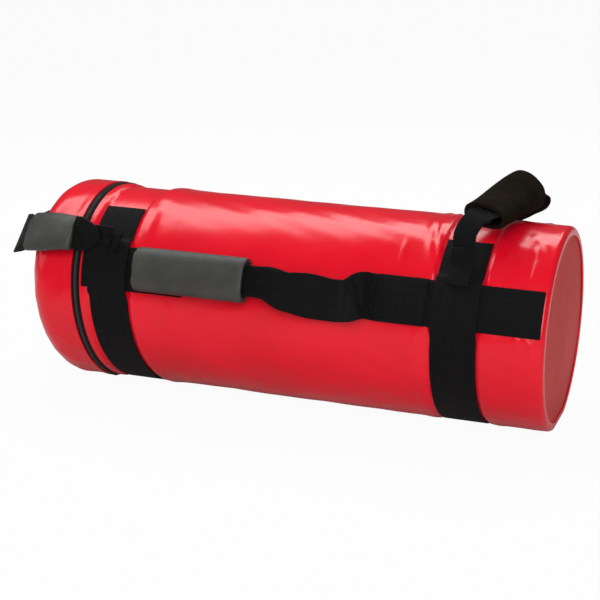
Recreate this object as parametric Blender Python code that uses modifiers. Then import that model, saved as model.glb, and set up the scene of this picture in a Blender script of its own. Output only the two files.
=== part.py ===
"""Sandbag trainer: a red coated-fabric cylinder with a zipped lid at its left end,
black webbing sewn round it, two end handles and one side handle with foam sleeves,
a foam lining and three tied sand pouches inside.

Metres, +Z up. X runs along the bag from the lid (-X) to the sewn end (+X), and -Y is
the side with the long handle. The origin is on the floor under the middle of the bag.
Angles round the bag are degrees from its top, growing towards the front (-Y).
"""
import math

import bmesh
import bpy
from mathutils import Euler, Matrix, Vector

# Bag
BAG_LEFT = -0.2574            # edge of the tube beside the zip
BAG_RIGHT = 0.2834            # outer face of the sewn end
BAG_RADIUS_LEFT = 0.1176
BAG_RADIUS_RIGHT = 0.1133
AXIS_HEIGHT = 0.110           # the bag sags: its axis is this high, less than its radius
SHELL_WALL = 0.0016
END_ROUND = 0.0060            # rounded rim at the sewn end
END_LIP = 0.0040              # turned-in edge that the end disc is sewn to
END_DISC_WALL = 0.0020
GROOVE_SLOPE = 0.0050         # the tube sinks under a webbing band over this length
GAP = 0.0003                  # between pieces that touch
SIDES = 48                    # facets round the bag
STATIONS = 6                  # cross-sections along the straight part of the bag
LEAN = 4.3                    # degrees: the lid end leans, its top outwards
LEAN_START = -0.135           # the lean fades in between these two places
LEAN_FULL = -0.195

# Zip and lid
ZIP_TAPE_WIDTH = 0.0030       # shown width of each tape
ZIP_CHAIN_WIDTH = 0.0014      # width of each row of teeth
ZIP_TAPE_THICK = 0.0030
ZIP_TAPE_RADIUS = 0.1196
ZIP_CHAIN_RADIUS = 0.1210
ZIP_CHAIN_THICK = 0.0030
LID_RADIUS = 0.1206
LID_DEPTH = 0.0635
LID_ROUND = 0.0300
LID_CROWN = 0.0020
LID_WALL = 0.0018
LID_PAD_THICK = 0.0200
HINGE_FROM = -62.5            # the lid's fabric hinge runs between these angles
HINGE_TO = 18.0
ZIP_END_GAP = 0.15            # degrees between the hinge fabric, the stop and the teeth
STOP_SPAN = 2.4               # degrees covered by the metal stop at the zip's closed end
SLIDER_ANGLE = -70.0
SLIDER_LENGTH = 0.0140
SLIDER_WIDTH = 0.0100
SLIDER_PLATE = 0.0018
SLIDER_CLEARANCE = 0.0006     # room for the zip's slight ovalness
SLIDER_EAR_HEIGHT = 0.0036
SLIDER_EAR_WALL = 0.0012
SLIDER_PIN_RADIUS = 0.0008
TAB_LENGTH = 0.0240
TAB_WIDTH = 0.0060
TAB_THICK = 0.0012
TAB_EYE_RADIUS = 0.0020
TAB_CLEARANCE = 0.0002

# Webbing sewn to the bag
WEB_WIDTH = 0.0500
WEB_THICK = 0.0020
FOLD_WIDTH = 0.0240           # webbing folded in two along its length
FOLD_THICK = 0.0040
STRAP_LEFT_EDGE = -0.2453
STRAP_RIGHT_EDGE = 0.1629
STRAP_CUT_ANGLE = 26.5
SIDE_ANGLE = 66.8             # the strips along the bag and the side handle lie here
STRIP_SPAN = 24.8             # degrees covered by 50 mm webbing on the bag
STRIP_CLIMB = 5.0             # degrees over which a band climbs onto a strip
STRIP_LEFT_START = -0.2550
STRIP_LEFT_END = -0.1270
STRIP_RIGHT_START = 0.1045
STRIP_RIGHT_END = 0.2760

# Filling
LINER_WALL = 0.0220
PAD_THICK = 0.0200
PAD_ROOM = 0.0022             # between the sewn end and the foam pad inside it
POUCH_COUNT = 3
POUCH_ROOM = 0.0080           # between the lid's pad and the first pouch
POUCH_ROUND = 0.0300
POUCH_NECK_LENGTH = 0.0260
POUCH_NECK_RADIUS = 0.0120
POUCH_MOUTH_RADIUS = 0.0260
TIE_RADIUS = 0.0020

# Handles
SLEEVE_WIDTH = 0.0500
SLEEVE_WALL = 0.0048
SLEEVE_SIDE_DEPTH = 0.0300
SLEEVE_RIGHT_DEPTH = 0.0260
SLEEVE_LEFT_DEPTH = 0.0156
GATHERED_WIDTH = 0.0340       # webbing inside a sleeve
LAP = 0.0080                  # a handle's end laps its sewn root this far past the pivot

SIDE_ANCHOR_START = 0.1000    # the side handle is sewn down from here to the next value
SIDE_ANCHOR_END = 0.1560
SIDE_LEFT_END = -0.1845
SIDE_SLEEVE_START = -0.1740
SIDE_SLEEVE_LENGTH = 0.1280
SIDE_LIFT = 0.0188            # middle of the side sleeve above the bag

LEFT_FOLD_X = -0.2440         # pivot of the left handle
LEFT_FOLD_RISE = 0.0830       # above the bag's axis
LEFT_SPAN = 0.1100            # half the width of the loop at its pivot
LEFT_REACH = 0.1440
LEFT_DROP = 0.0315
LEFT_SLEEVE_START_SHARE = 0.075
LEFT_SLEEVE_END_SHARE = 0.243
LEFT_LAP = 0.0110             # the left roots end this far past the pivot, rounded about it
ROOT_WIDTH = 0.0220           # a left root's folded webbing

RIGHT_PIVOT_X = 0.1879
RIGHT_PIVOT_RISE = 0.0985
RIGHT_SPAN = 0.0800
RIGHT_RISE = 0.0430
RIGHT_REACH = 0.0430
RIGHT_SLEEVE_SAG = 0.0036     # the sleeve hangs on the webbing by its upper wall
RIGHT_SLEEVE_START_SHARE = 0.225
RIGHT_SLEEVE_END_SHARE = 0.65

LEFT_TURN_SHARES = (0.056, 0.082)    # the left loop turns from upright to lying on the lid
LEFT_TIP_SHARES = (0.36, 0.50)       # and then to its slanting tip
LEFT_OPEN_SHARES = (0.10, 0.20)      # its folded webbing opens to full width
LEFT_THIN_SHARES = (0.06, 0.12)
LEFT_LYING = Vector((0.12, 0.64, 0.78))
LEFT_TIP_LEAN = 0.22
GATHER_SHARES = (0.04, 0.01, 0.05)   # gathering before, at and after the sleeve's ends
ROOT_SEWN_ANGLES = (54.0, 53.0)
ROOT_TURN_SHARES = (0.10, 0.48)
ROOT_KNEE_SHARES = (1.8, 1.3, -1.0)  # places past the pivot, in laps
ROOT_STEPS = 12
RIGHT_FOOT_ANGLES = (57.0, 52.0)
RIGHT_OPEN_SHARE = 0.16              # the right loop's folded webbing opens from here
RIGHT_THIN_SHARE = 0.12
RIGHT_TURN_SHARES = (0.10, 0.25, 0.74)
SIDE_OPEN_SHARE = 0.30               # the side webbing widens over this share past its sleeve

ACROSS = 4                    # facets across a strip of webbing
LEFT_STEPS = 44
RIGHT_STEPS = 40
SIDE_STEPS = 50
SLEEVE_SIDES = 20
OVAL_POWER = 2.4
MERGE = 0.00001

# Share of the loop's reach, half width and drop, from the front pivot to the tip
LEFT_PATH_SHARES = [(-0.082, 1.00, 0.00), (0.12, 1.00, 0.00), (0.30, 0.995, 0.02), (0.62, 0.87, 0.24),
                    (0.855, 0.61, 0.60), (0.96, 0.28, 0.90), (1.00, 0.00, 1.00)]
# Share of the reach, half width and rise, from the front pivot to the rear one
RIGHT_PATH_SHARES = [(0.00, -1.00, -0.28), (0.00, -1.00, 0.10), (0.02, -0.98, 0.45), (0.18, -0.90, 0.76),
                     (0.32, -0.80, 0.88), (0.40, -0.72, 0.90), (0.64, 0.00, 0.98), (0.88, 0.72, 1.04),
                     (1.02, 0.90, 0.95), (1.05, 1.00, 0.68), (0.80, 1.02, 0.36), (0.40, 1.00, 0.14),
                     (-0.22, 1.00, -0.11)]
# Direction of the webbing's width along the right loop, reached at these shares of it
RIGHT_WIDTHS = [(0.00, Vector((1.00, 0.00, 0.05))), (0.22, Vector((0.98, -0.20, -0.12))),
                (0.65, Vector((0.70, -0.10, -0.66))), (0.92, Vector((0.50, 0.00, -0.86)))]
# Share of the way along the side handle, and the degrees it sags below its straight line
SIDE_SAG_SHARES = [(0.00, 0.0), (0.575, 0.0), (0.67, 3.6), (0.84, 5.6), (0.90, 4.6), (0.965, 0.0),
                   (1.00, 0.0)]
# Share of the way along the side handle, and of the height of its sleeve
SIDE_LIFT_SHARES = [(0.00, 0.185), (0.006, 0.185), (0.036, 1.00), (0.50, 1.00), (0.62, 0.86), (0.74, 0.52),
                    (0.84, 0.40), (0.88, 0.62), (0.92, 0.86), (0.95, 0.70), (0.985, 0.185), (1.00, 0.185)]

COLORS = {
    "red_pvc": ((0.62, 0.022, 0.035, 1.0), 0.32, 0.0),
    "red_end": ((0.42, 0.095, 0.085, 1.0), 0.55, 0.0),
    "black_webbing": ((0.012, 0.012, 0.014, 1.0), 0.85, 0.0),
    "black_tape": ((0.015, 0.014, 0.014, 1.0), 0.75, 0.0),
    "grey_coil": ((0.13, 0.12, 0.12, 1.0), 0.45, 0.0),
    "grey_foam": ((0.095, 0.098, 0.090, 1.0), 0.90, 0.0),
    "metal": ((0.30, 0.30, 0.31, 1.0), 0.35, 1.0),
    "cream_foam": ((0.72, 0.68, 0.55, 1.0), 0.95, 0.0),
    "canvas": ((0.45, 0.38, 0.27, 1.0), 0.95, 0.0),
    "cord": ((0.55, 0.53, 0.48, 1.0), 0.90, 0.0),
}


def clear_scene():
    for obj in list(bpy.data.objects):
        bpy.data.objects.remove(obj, do_unlink=True)


def new_collection(name):
    collection = bpy.data.collections.new(name)
    bpy.context.scene.collection.children.link(collection)
    return collection


def material(name):
    mat = bpy.data.materials.get(name)
    if mat is None:
        mat = bpy.data.materials.new(name)
        mat.use_nodes = True
        color, roughness, metallic = COLORS[name]
        shader = mat.node_tree.nodes["Principled BSDF"]
        shader.inputs["Base Color"].default_value = color
        shader.inputs["Roughness"].default_value = roughness
        shader.inputs["Metallic"].default_value = metallic
        mat.diffuse_color = color
    return mat


def place_object(name, bm, mat, parent=None):
    """Makes the object, shades it and hangs it on its pivot without moving it."""
    mesh = bpy.data.meshes.new(name)
    bm.to_mesh(mesh)
    bm.free()
    mesh.materials.append(material(mat))
    mesh.shade_smooth()
    mesh.set_sharp_from_angle(angle=math.radians(40.0))
    obj = bpy.data.objects.new(name, mesh)
    parts.objects.link(obj)
    if parent is not None:
        obj.parent = parent
        obj.matrix_parent_inverse = parent.matrix_world.inverted()
    return obj


def pivot(name, place, parent=None):
    """An empty on a joint's axis, the parent of what moves there."""
    empty = bpy.data.objects.new(name, None)
    empty.empty_display_size = WEB_WIDTH
    empty.hide_render = True
    guides.objects.link(empty)
    empty.location = place
    if parent is not None:
        empty.parent = parent
        empty.matrix_parent_inverse = parent.matrix_world.inverted()
    bpy.context.view_layer.update()
    return empty


def ramp(value, start, full):
    share = min(max((value - start) / (full - start), 0.0), 1.0)
    return share * share * (3.0 - 2.0 * share)


def table_value(table, share):
    """Smooth value between the hand-set (share, value) pairs of a table."""
    for (s0, v0), (s1, v1) in zip(table, table[1:]):
        if share <= s1:
            return v0 + (v1 - v0) * ramp(share, s0, s1)
    return table[-1][1]


def bag_radius(x):
    share = min(max((x - BAG_LEFT) / (BAG_RIGHT - BAG_LEFT), 0.0), 1.0)
    return BAG_RADIUS_LEFT + (BAG_RADIUS_RIGHT - BAG_RADIUS_LEFT) * share


def lean_shift(x, height):
    return -math.tan(math.radians(LEAN)) * height * ramp(x, LEAN_START, LEAN_FULL)


def skin(x, angle, radius, full_radius=None):
    """A point round the bag. The ring that touches the floor, full_radius, is flattened
    to the floor, and the rings inside it in proportion."""
    turn = math.radians(angle)
    flat = AXIS_HEIGHT * radius / (full_radius or max(radius, bag_radius(x)))
    height = max(radius * math.cos(turn), -flat)
    return Vector((x + lean_shift(x, height), -radius * math.sin(turn), AXIS_HEIGHT + height))


def axis_point(x, y, rise):
    return Vector((x, y, AXIS_HEIGHT + rise))


def grid(rows, closed_across=False, closed_along=False):
    """A grid primitive laid over rows of points, with its seams merged."""
    bm = bmesh.new()
    along, across = len(rows) - 1, len(rows[0]) - 1
    bmesh.ops.create_grid(bm, x_segments=across, y_segments=along, size=1.0)
    for vert in bm.verts:
        column = round((vert.co.x + 1.0) / 2.0 * across)
        row = round((vert.co.y + 1.0) / 2.0 * along)
        vert.co = rows[row][column]
    if closed_across or closed_along:
        bmesh.ops.remove_doubles(bm, verts=bm.verts, dist=MERGE)
        bmesh.ops.dissolve_degenerate(bm, edges=bm.edges, dist=MERGE)
    return bm


def stationed(loop):
    """Adds points where the outline passes the bag's stations, so that the facets of all
    pieces along the bag meet the same cross-sections."""
    stations = [LEAN_FULL, (LEAN_FULL + LEAN_START) / 2.0]
    stations += [LEAN_START + (BAG_RIGHT - LEAN_START) * i / STATIONS for i in range(STATIONS)]
    result = loop[:1]
    for (x0, r0), (x1, r1) in zip(loop, loop[1:]):
        between = [x for x in stations if min(x0, x1) + SHELL_WALL < x < max(x0, x1) - SHELL_WALL]
        for x in sorted(between, reverse=x1 < x0):
            result.append((x, r0 + (r1 - r0) * (x - x0) / (x1 - x0)))
        result.append((x1, r1))
    return result


def wrap(name, profile, mat, angles=None, parent=None, full_radius=None, poles=False, bump=None,
         sides=SIDES):
    """Carries a profile of (x, radius) points round the bag: a closed outline, or one that
    starts and ends on the axis. bump(angle) lifts it where it climbs over a strip."""
    whole = angles is None
    if whole:
        angles = [360.0 * i / sides for i in range(sides + 1)]
    loop = stationed(profile if poles else profile + profile[:1])
    rows = []
    for angle in angles:
        lift = bump(angle) if bump else 0.0
        rows.append([skin(x, angle, radius + lift, full_radius) for x, radius in loop])
    bm = grid(rows, closed_across=True, closed_along=whole)
    if not whole:
        rim = [edge for edge in bm.edges if edge.is_boundary]
        bmesh.ops.holes_fill(bm, edges=rim, sides=0)
    bmesh.ops.recalc_face_normals(bm, faces=bm.faces)
    return place_object(name, bm, mat, parent)


def facet_angles(start, stop, extra=()):
    """The bag's own facet angles between two cut ends, with any extra ones."""
    step = 360.0 / SIDES
    near, far = start + step / 3, stop - step / 3
    inner = [i * step for i in range(-SIDES, 2 * SIDES) if near < i * step < far]
    inner = [a for a in inner if all(abs(a - e) > step / 4 for e in extra)]
    return sorted([start, stop] + inner + list(extra))


def rim_arc(center_x, center_r, radius, start, stop, steps):
    points = []
    for i in range(steps + 1):
        turn = math.radians(start + (stop - start) * i / steps)
        points.append((center_x + radius * math.cos(turn), center_r + radius * math.sin(turn)))
    return points


def smooth_path(points, steps):
    """Even steps along a smooth curve through hand-set points."""
    dense = []
    last = len(points) - 1
    for i in range(last):
        before, here = points[max(i - 1, 0)], points[i]
        there, after = points[i + 1], points[min(i + 2, last)]
        for j in range(steps):
            t = j / steps
            dense.append((here * 2.0 + (there - before) * t
                          + (before * 2.0 - here * 5.0 + there * 4.0 - after) * t * t
                          + (here * 3.0 - before - there * 3.0 + after) * t ** 3) / 2.0)
    dense.append(points[-1])
    reach = [0.0]
    for here, there in zip(dense, dense[1:]):
        reach.append(reach[-1] + (there - here).length)
    result = []
    spot = 0
    for i in range(steps + 1):
        want = reach[-1] * i / steps
        while spot < len(dense) - 2 and reach[spot + 1] < want:
            spot += 1
        share = (want - reach[spot]) / (reach[spot + 1] - reach[spot])
        result.append(dense[spot].lerp(dense[spot + 1], min(share, 1.0)))
    return result


def path_frames(points, widths):
    """Middle, width direction and thickness direction at each step of a strip."""
    frames = []
    for i, point in enumerate(points):
        ahead = points[min(i + 1, len(points) - 1)] - points[max(i - 1, 0)]
        ahead.normalize()
        across = widths[i] - ahead * widths[i].dot(ahead)
        across.normalize()
        frames.append((point, across, across.cross(ahead)))
    return frames


def part_of_frames(frames, start_share, end_share):
    last = len(frames) - 1
    return frames[round(start_share * last):round(end_share * last) + 1]


def band(name, frames, sizes, mat, parent=None):
    """A strip of webbing lofted along its frames; sizes are (width, thickness) at each."""
    rows = []
    for (middle, across, face), (width, thick) in zip(frames, sizes):
        front = [middle + across * (width * (i / ACROSS - 0.5)) + face * (thick / 2.0)
                 for i in range(ACROSS + 1)]
        back = [point - face * thick for point in reversed(front)]
        rows.append(front + back + front[:1])
    bm = grid(rows, closed_across=True)
    rim = [edge for edge in bm.edges if edge.is_boundary]
    bmesh.ops.holes_fill(bm, edges=rim, sides=0)
    bmesh.ops.recalc_face_normals(bm, faces=bm.faces)
    return place_object(name, bm, mat, parent)


def oval_point(turn, width, depth):
    c, s = math.cos(turn), math.sin(turn)
    return (math.copysign(abs(c) ** (2.0 / OVAL_POWER), c) * width / 2.0,
            math.copysign(abs(s) ** (2.0 / OVAL_POWER), s) * depth / 2.0)


def sleeve(name, frames, depth, parent=None, sag=0.0):
    """A foam sleeve: an oval tube along its frames, its wall given by Solidify. It hangs
    by sag below the webbing that runs through it."""
    rows = []
    for middle, across, face in frames:
        ring = []
        for i in range(SLEEVE_SIDES + 1):
            turn = 2.0 * math.pi * (i % SLEEVE_SIDES) / SLEEVE_SIDES
            u, v = oval_point(turn, SLEEVE_WIDTH - SLEEVE_WALL, depth - SLEEVE_WALL)
            ring.append(middle + across * u + face * (v - sag))
        rows.append(ring)
    bm = grid(rows, closed_across=True)
    bmesh.ops.recalc_face_normals(bm, faces=bm.faces)
    obj = place_object(name, bm, "grey_foam", parent)
    wall = obj.modifiers.new("wall", "SOLIDIFY")
    wall.thickness = SLEEVE_WALL
    wall.offset = 0.0
    return obj


def groove(left):
    """The tube's outline under a webbing band that starts at left."""
    right = left + WEB_WIDTH
    sink = WEB_THICK + GAP
    return [(left - GAP - GROOVE_SLOPE, bag_radius(left - GAP - GROOVE_SLOPE)),
            (left - GAP, bag_radius(left - GAP) - sink),
            (right + GAP, bag_radius(right + GAP) - sink),
            (right + GAP + GROOVE_SLOPE, bag_radius(right + GAP + GROOVE_SLOPE))]


def make_shell():
    """The red tube, drawn in under each band so that the webbing lies flush."""
    rim_x = BAG_RIGHT - END_ROUND
    rim_r = bag_radius(rim_x)
    outer = [(BAG_LEFT, bag_radius(BAG_LEFT))] + groove(STRAP_LEFT_EDGE)
    outer += groove(STRAP_RIGHT_EDGE)
    outer += rim_arc(rim_x, rim_r - END_ROUND, END_ROUND, 90.0, 0.0, 3)
    lip_r = rim_r - END_ROUND - END_LIP
    inside = WEB_THICK + GAP + SHELL_WALL
    lip = [(BAG_RIGHT, lip_r), (BAG_RIGHT - SHELL_WALL, lip_r),
           (BAG_RIGHT - SHELL_WALL, rim_r - END_ROUND), (rim_x, rim_r - inside)]
    inner = (BAG_LEFT, bag_radius(BAG_LEFT) - inside)
    wrap("shell_tube", outer + lip + [inner], "red_pvc")


def make_end_disc():
    """The sewn end, a disc behind the tube's turned-in edge."""
    radius = bag_radius(BAG_RIGHT) - END_ROUND - GAP
    front = BAG_RIGHT - SHELL_WALL - GAP
    back = front - END_DISC_WALL
    full = bag_radius(BAG_RIGHT)
    wrap("end_disc", [(front, 0.0), (front, radius), (back, radius), (back, 0.0)], "red_end",
         full_radius=full, poles=True)


def make_filling():
    """Foam lining, foam pad at the sewn end, and the tied sand pouches."""
    clear = WEB_THICK + GAP + SHELL_WALL + GAP
    pad_right = BAG_RIGHT - SHELL_WALL - GAP - END_DISC_WALL - PAD_ROOM
    pad_left = pad_right - PAD_THICK
    liner_right = pad_left - GAP
    outline = [(BAG_LEFT, bag_radius(BAG_LEFT) - clear), (liner_right, bag_radius(liner_right) - clear),
               (liner_right, bag_radius(liner_right) - clear - LINER_WALL),
               (BAG_LEFT, bag_radius(BAG_LEFT) - clear - LINER_WALL)]
    wrap("foam_liner", outline, "cream_foam")
    pad_r = bag_radius(pad_right) - clear - SHELL_WALL
    wrap("base_pad", [(pad_right, 0.0), (pad_right, pad_r), (pad_left, pad_r), (pad_left, 0.0)],
         "cream_foam", full_radius=bag_radius(pad_right), poles=True)
    pouch_left = lid_edge - LID_DEPTH + LID_WALL + GAP + LID_PAD_THICK + POUCH_ROOM
    slot = (liner_right - pouch_left) / POUCH_COUNT
    for i in range(POUCH_COUNT):
        make_pouch(i + 1, pouch_left + slot * i, slot - GAP, clear + LINER_WALL + 2.0 * GAP)


def make_pouch(number, left, length, clear):
    """A sand pouch with its gathered neck towards the lid, and the cord round the neck."""
    right = left + length
    radius = bag_radius(right) - clear
    shoulder = left + POUCH_NECK_LENGTH
    mouth = (left, POUCH_MOUTH_RADIUS)
    tie_x = left + POUCH_NECK_LENGTH / 2.0
    profile = [(left, 0.0), mouth, (tie_x - TIE_RADIUS, POUCH_NECK_RADIUS),
               (tie_x + TIE_RADIUS, POUCH_NECK_RADIUS)]
    profile += rim_arc(shoulder + POUCH_ROUND, radius - POUCH_ROUND, POUCH_ROUND, 180.0, 90.0, 3)
    profile += rim_arc(right - POUCH_ROUND, radius - POUCH_ROUND, POUCH_ROUND, 90.0, 0.0, 3)
    profile.append((right, 0.0))
    full = bag_radius(right)
    wrap("filler_pouch_%d" % number, profile, "canvas", full_radius=full, poles=True,
         sides=SIDES // 2)
    ring_r = POUCH_NECK_RADIUS + TIE_RADIUS + GAP * 3.0
    knot = rim_arc(tie_x, ring_r, TIE_RADIUS, 0.0, 300.0, 5)
    wrap("filler_tie_%d" % number, knot, "cord", full_radius=full, sides=SIDES // 2)


def strip_edges(side):
    """First and last angle of the webbing strip on the front (1) or rear (-1)."""
    middle = SIDE_ANGLE * side
    return middle - STRIP_SPAN / 2.0, middle + STRIP_SPAN / 2.0


def climb(angle):
    """Lift of a band where it crosses a strip."""
    turned = (angle + 180.0) % 360.0 - 180.0
    away = abs(abs(turned) - SIDE_ANGLE) - STRIP_SPAN / 2.0
    return 2.0 * (WEB_THICK + GAP) * (1.0 - ramp(away, 1.0, 1.0 + STRIP_CLIMB))


def flat_strip(name, start, end, angles, inner_lift, mat="black_webbing", parent=None, bump=None):
    """Webbing sewn flat to the bag between two places, inner_lift above its skin."""
    profile = [(x, bag_radius(x) + inner_lift) for x in (start, end)]
    profile += [(x, r + WEB_THICK) for x, r in reversed(profile)]
    return wrap(name, profile, mat, angles=angles, parent=parent, bump=bump)


def make_straps():
    """The two bands round the bag, open over the top, and the strips along its sides.
    The bands lie over the strips."""
    corners = []
    for edge in (SIDE_ANGLE - STRIP_SPAN / 2.0 - 1.0, SIDE_ANGLE + STRIP_SPAN / 2.0 + 1.0):
        outward = edge + math.copysign(STRIP_CLIMB, edge - SIDE_ANGLE)
        corners += [edge, outward, 360.0 - edge, 360.0 - outward]
    angles = facet_angles(STRAP_CUT_ANGLE, 360.0 - STRAP_CUT_ANGLE, corners)
    for name, left in (("strap_left", STRAP_LEFT_EDGE), ("strap_right", STRAP_RIGHT_EDGE)):
        flat_strip(name, left, left + WEB_WIDTH, angles, -WEB_THICK, bump=climb)
    for side, word in ((1, "front"), (-1, "rear")):
        angles = facet_angles(*strip_edges(side))
        flat_strip("strip_left_" + word, STRIP_LEFT_START, STRIP_LEFT_END, angles, GAP)
        flat_strip("strip_right_" + word, STRIP_RIGHT_START, STRIP_RIGHT_END, angles, GAP)


def make_zip_and_lid(lid_pivot):
    """The zip's two tapes and rows of teeth, the hinge fabric, the lid and its pad."""
    middle = BAG_LEFT - GAP - ZIP_TAPE_WIDTH - GAP - ZIP_CHAIN_WIDTH - GAP / 2.0
    stop_start = 360.0 + HINGE_FROM - ZIP_END_GAP - STOP_SPAN
    angles = facet_angles(HINGE_TO + ZIP_END_GAP, stop_start - ZIP_END_GAP)
    for side, word, parent in ((1, "body", None), (-1, "lid", lid_pivot)):
        tooth = middle + side * GAP / 2.0
        tape = tooth + side * (ZIP_CHAIN_WIDTH + GAP)
        rows = (("zip_teeth_", tooth, ZIP_CHAIN_WIDTH, ZIP_CHAIN_RADIUS, ZIP_CHAIN_THICK, "grey_coil"),
                ("zip_tape_", tape, ZIP_TAPE_WIDTH, ZIP_TAPE_RADIUS, ZIP_TAPE_THICK, "black_tape"))
        for name, near, width, radius, thick, mat in rows:
            far = near + side * width
            wrap(name + word, [(near, radius - thick), (near, radius), (far, radius), (far, radius - thick)],
                 mat, angles=angles, parent=parent, full_radius=LID_RADIUS + GAP)
    edge = middle - (BAG_LEFT - middle)
    hinge = [(BAG_LEFT - GAP, ZIP_TAPE_RADIUS - ZIP_TAPE_THICK), (BAG_LEFT - GAP, ZIP_TAPE_RADIUS),
             (edge + GAP, ZIP_TAPE_RADIUS), (edge + GAP, ZIP_TAPE_RADIUS - ZIP_TAPE_THICK)]
    wrap("lid_hinge_strip", hinge, "black_tape", angles=facet_angles(HINGE_FROM, HINGE_TO),
         full_radius=LID_RADIUS)
    stop = [(middle - ZIP_CHAIN_WIDTH, ZIP_CHAIN_RADIUS - ZIP_CHAIN_THICK),
            (middle - ZIP_CHAIN_WIDTH, ZIP_CHAIN_RADIUS), (middle + ZIP_CHAIN_WIDTH, ZIP_CHAIN_RADIUS),
            (middle + ZIP_CHAIN_WIDTH, ZIP_CHAIN_RADIUS - ZIP_CHAIN_THICK)]
    wrap("zip_stop", stop, "metal", angles=[stop_start, stop_start + STOP_SPAN],
         full_radius=LID_RADIUS)
    make_lid(edge, lid_pivot)
    return middle, edge


def make_lid(edge, lid_pivot):
    end = edge - LID_DEPTH
    outer = [(end - LID_CROWN, 0.0), (end - LID_CROWN / 2.0, (LID_RADIUS - LID_ROUND) * 2.0 / 3.0)]
    outer += rim_arc(end + LID_ROUND, LID_RADIUS - LID_ROUND, LID_ROUND, 180.0, 90.0, 6)
    outer.append((edge, LID_RADIUS))
    inner_round = LID_ROUND - LID_WALL
    inner = [(edge, LID_RADIUS - LID_WALL)]
    inner += rim_arc(end + LID_ROUND, LID_RADIUS - LID_ROUND, inner_round, 90.0, 180.0, 6)
    inner += [(end + LID_WALL, 0.0)]
    wrap("lid_shell", outer + inner, "red_pvc", parent=lid_pivot, full_radius=LID_RADIUS, poles=True)
    pad_round = inner_round - GAP
    face = end + LID_WALL + GAP
    back = face + LID_PAD_THICK
    pad = [(face, 0.0)]
    pad += rim_arc(end + LID_ROUND, LID_RADIUS - LID_ROUND, pad_round, 180.0, 120.0, 3)
    pad += [(back, pad[-1][1]), (back, 0.0)]
    wrap("lid_pad", pad, "cream_foam", parent=lid_pivot, full_radius=LID_RADIUS, poles=True)


def make_slider(middle):
    """The zip's slider with its two ears and pin, and the pull tab hinged on the pin.
    Both are built at the top of the zip and then turned to the closed end."""
    base = ZIP_CHAIN_RADIUS + SLIDER_CLEARANCE
    center = Vector((middle, 0.0, AXIS_HEIGHT))
    turn = Euler((math.radians(SLIDER_ANGLE), 0.0, 0.0)).to_matrix().to_4x4()
    lean = Matrix.Rotation(math.radians(-LEAN), 4, "Y")
    place = Matrix.Translation(center) @ lean @ turn
    slider_pivot = pivot("zip_slider_pivot", center)
    bm = bmesh.new()
    plate = bmesh.ops.create_cube(bm, size=1.0)["verts"]
    bmesh.ops.scale(bm, verts=plate, vec=(SLIDER_WIDTH, SLIDER_LENGTH, SLIDER_PLATE))
    bmesh.ops.translate(bm, verts=plate, vec=(0.0, 0.0, base + SLIDER_PLATE / 2.0))
    plate_obj = place_object("zip_slider", bm, "metal", slider_pivot)
    ear_x = (TAB_WIDTH + SLIDER_EAR_WALL) / 2.0 + GAP
    pin_z = base + SLIDER_PLATE + TAB_EYE_RADIUS + GAP
    ear_tall = SLIDER_EAR_HEIGHT + SLIDER_PLATE
    ears = bmesh.new()
    for side in (-1, 1):
        ear = bmesh.ops.create_cube(ears, size=1.0)["verts"]
        bmesh.ops.scale(ears, verts=ear, vec=(SLIDER_EAR_WALL, SLIDER_EAR_HEIGHT, ear_tall))
        bmesh.ops.translate(ears, verts=ear, vec=(side * ear_x, 0.0, base + ear_tall / 2.0))
    ears_obj = cutter("slider_ears", ears)
    pin = bmesh.new()
    across = Matrix.Translation((0.0, 0.0, pin_z)) @ Matrix.Rotation(math.radians(90.0), 4, "Y")
    bmesh.ops.create_cone(pin, cap_ends=True, segments=10, radius1=SLIDER_PIN_RADIUS,
                          radius2=SLIDER_PIN_RADIUS, depth=2.0 * ear_x, matrix=across)
    pin_obj = cutter("slider_pin", pin)
    for tool in (ears_obj, pin_obj):
        join = plate_obj.modifiers.new(tool.name, "BOOLEAN")
        join.operation = "UNION"
        join.object = tool
        tool.matrix_world = place
    plate_obj.matrix_world = place
    tab_pivot = pivot("zip_pull_pivot", place @ Vector((0.0, 0.0, pin_z)), slider_pivot)
    make_pull(place, pin_z, tab_pivot)


def make_pull(place, pin_z, tab_pivot):
    """The pull tab: a flat outline seen from its edge, an eye with a tail, extruded."""
    curve = bpy.data.curves.new("pull_outline", "CURVE")
    curve.dimensions = "2D"
    curve.fill_mode = "BOTH"
    curve.extrude = TAB_WIDTH / 2.0
    half = TAB_THICK / 2.0
    start = math.degrees(math.asin(half / TAB_EYE_RADIUS))
    outline = rim_arc(0.0, 0.0, TAB_EYE_RADIUS, start, 360.0 - start, 12)
    outline += [(TAB_LENGTH, -half), (TAB_LENGTH, half)]
    hole = rim_arc(0.0, 0.0, SLIDER_PIN_RADIUS + TAB_CLEARANCE, 0.0, 330.0, 11)
    for points in (outline, hole):
        spline = curve.splines.new("POLY")
        spline.points.add(len(points) - 1)
        for point, (x, y) in zip(spline.points, points):
            point.co = (x, y, 0.0, 1.0)
        spline.use_cyclic_u = True
    draft = bpy.data.objects.new("pull_draft", curve)
    guides.objects.link(draft)
    bpy.context.view_layer.update()
    mesh = bpy.data.meshes.new_from_object(draft.evaluated_get(bpy.context.evaluated_depsgraph_get()))
    bpy.data.objects.remove(draft, do_unlink=True)
    bm = bmesh.new()
    bm.from_mesh(mesh)
    bmesh.ops.remove_doubles(bm, verts=bm.verts, dist=MERGE)
    upright = Matrix(((0.0, 0.0, 1.0, 0.0), (1.0, 0.0, 0.0, 0.0), (0.0, 1.0, 0.0, pin_z),
                      (0.0, 0.0, 0.0, 1.0)))
    bmesh.ops.transform(bm, matrix=upright, verts=bm.verts)
    bmesh.ops.recalc_face_normals(bm, faces=bm.faces)
    tab = place_object("zip_pull", bm, "metal", tab_pivot)
    tab.matrix_world = place


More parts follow.
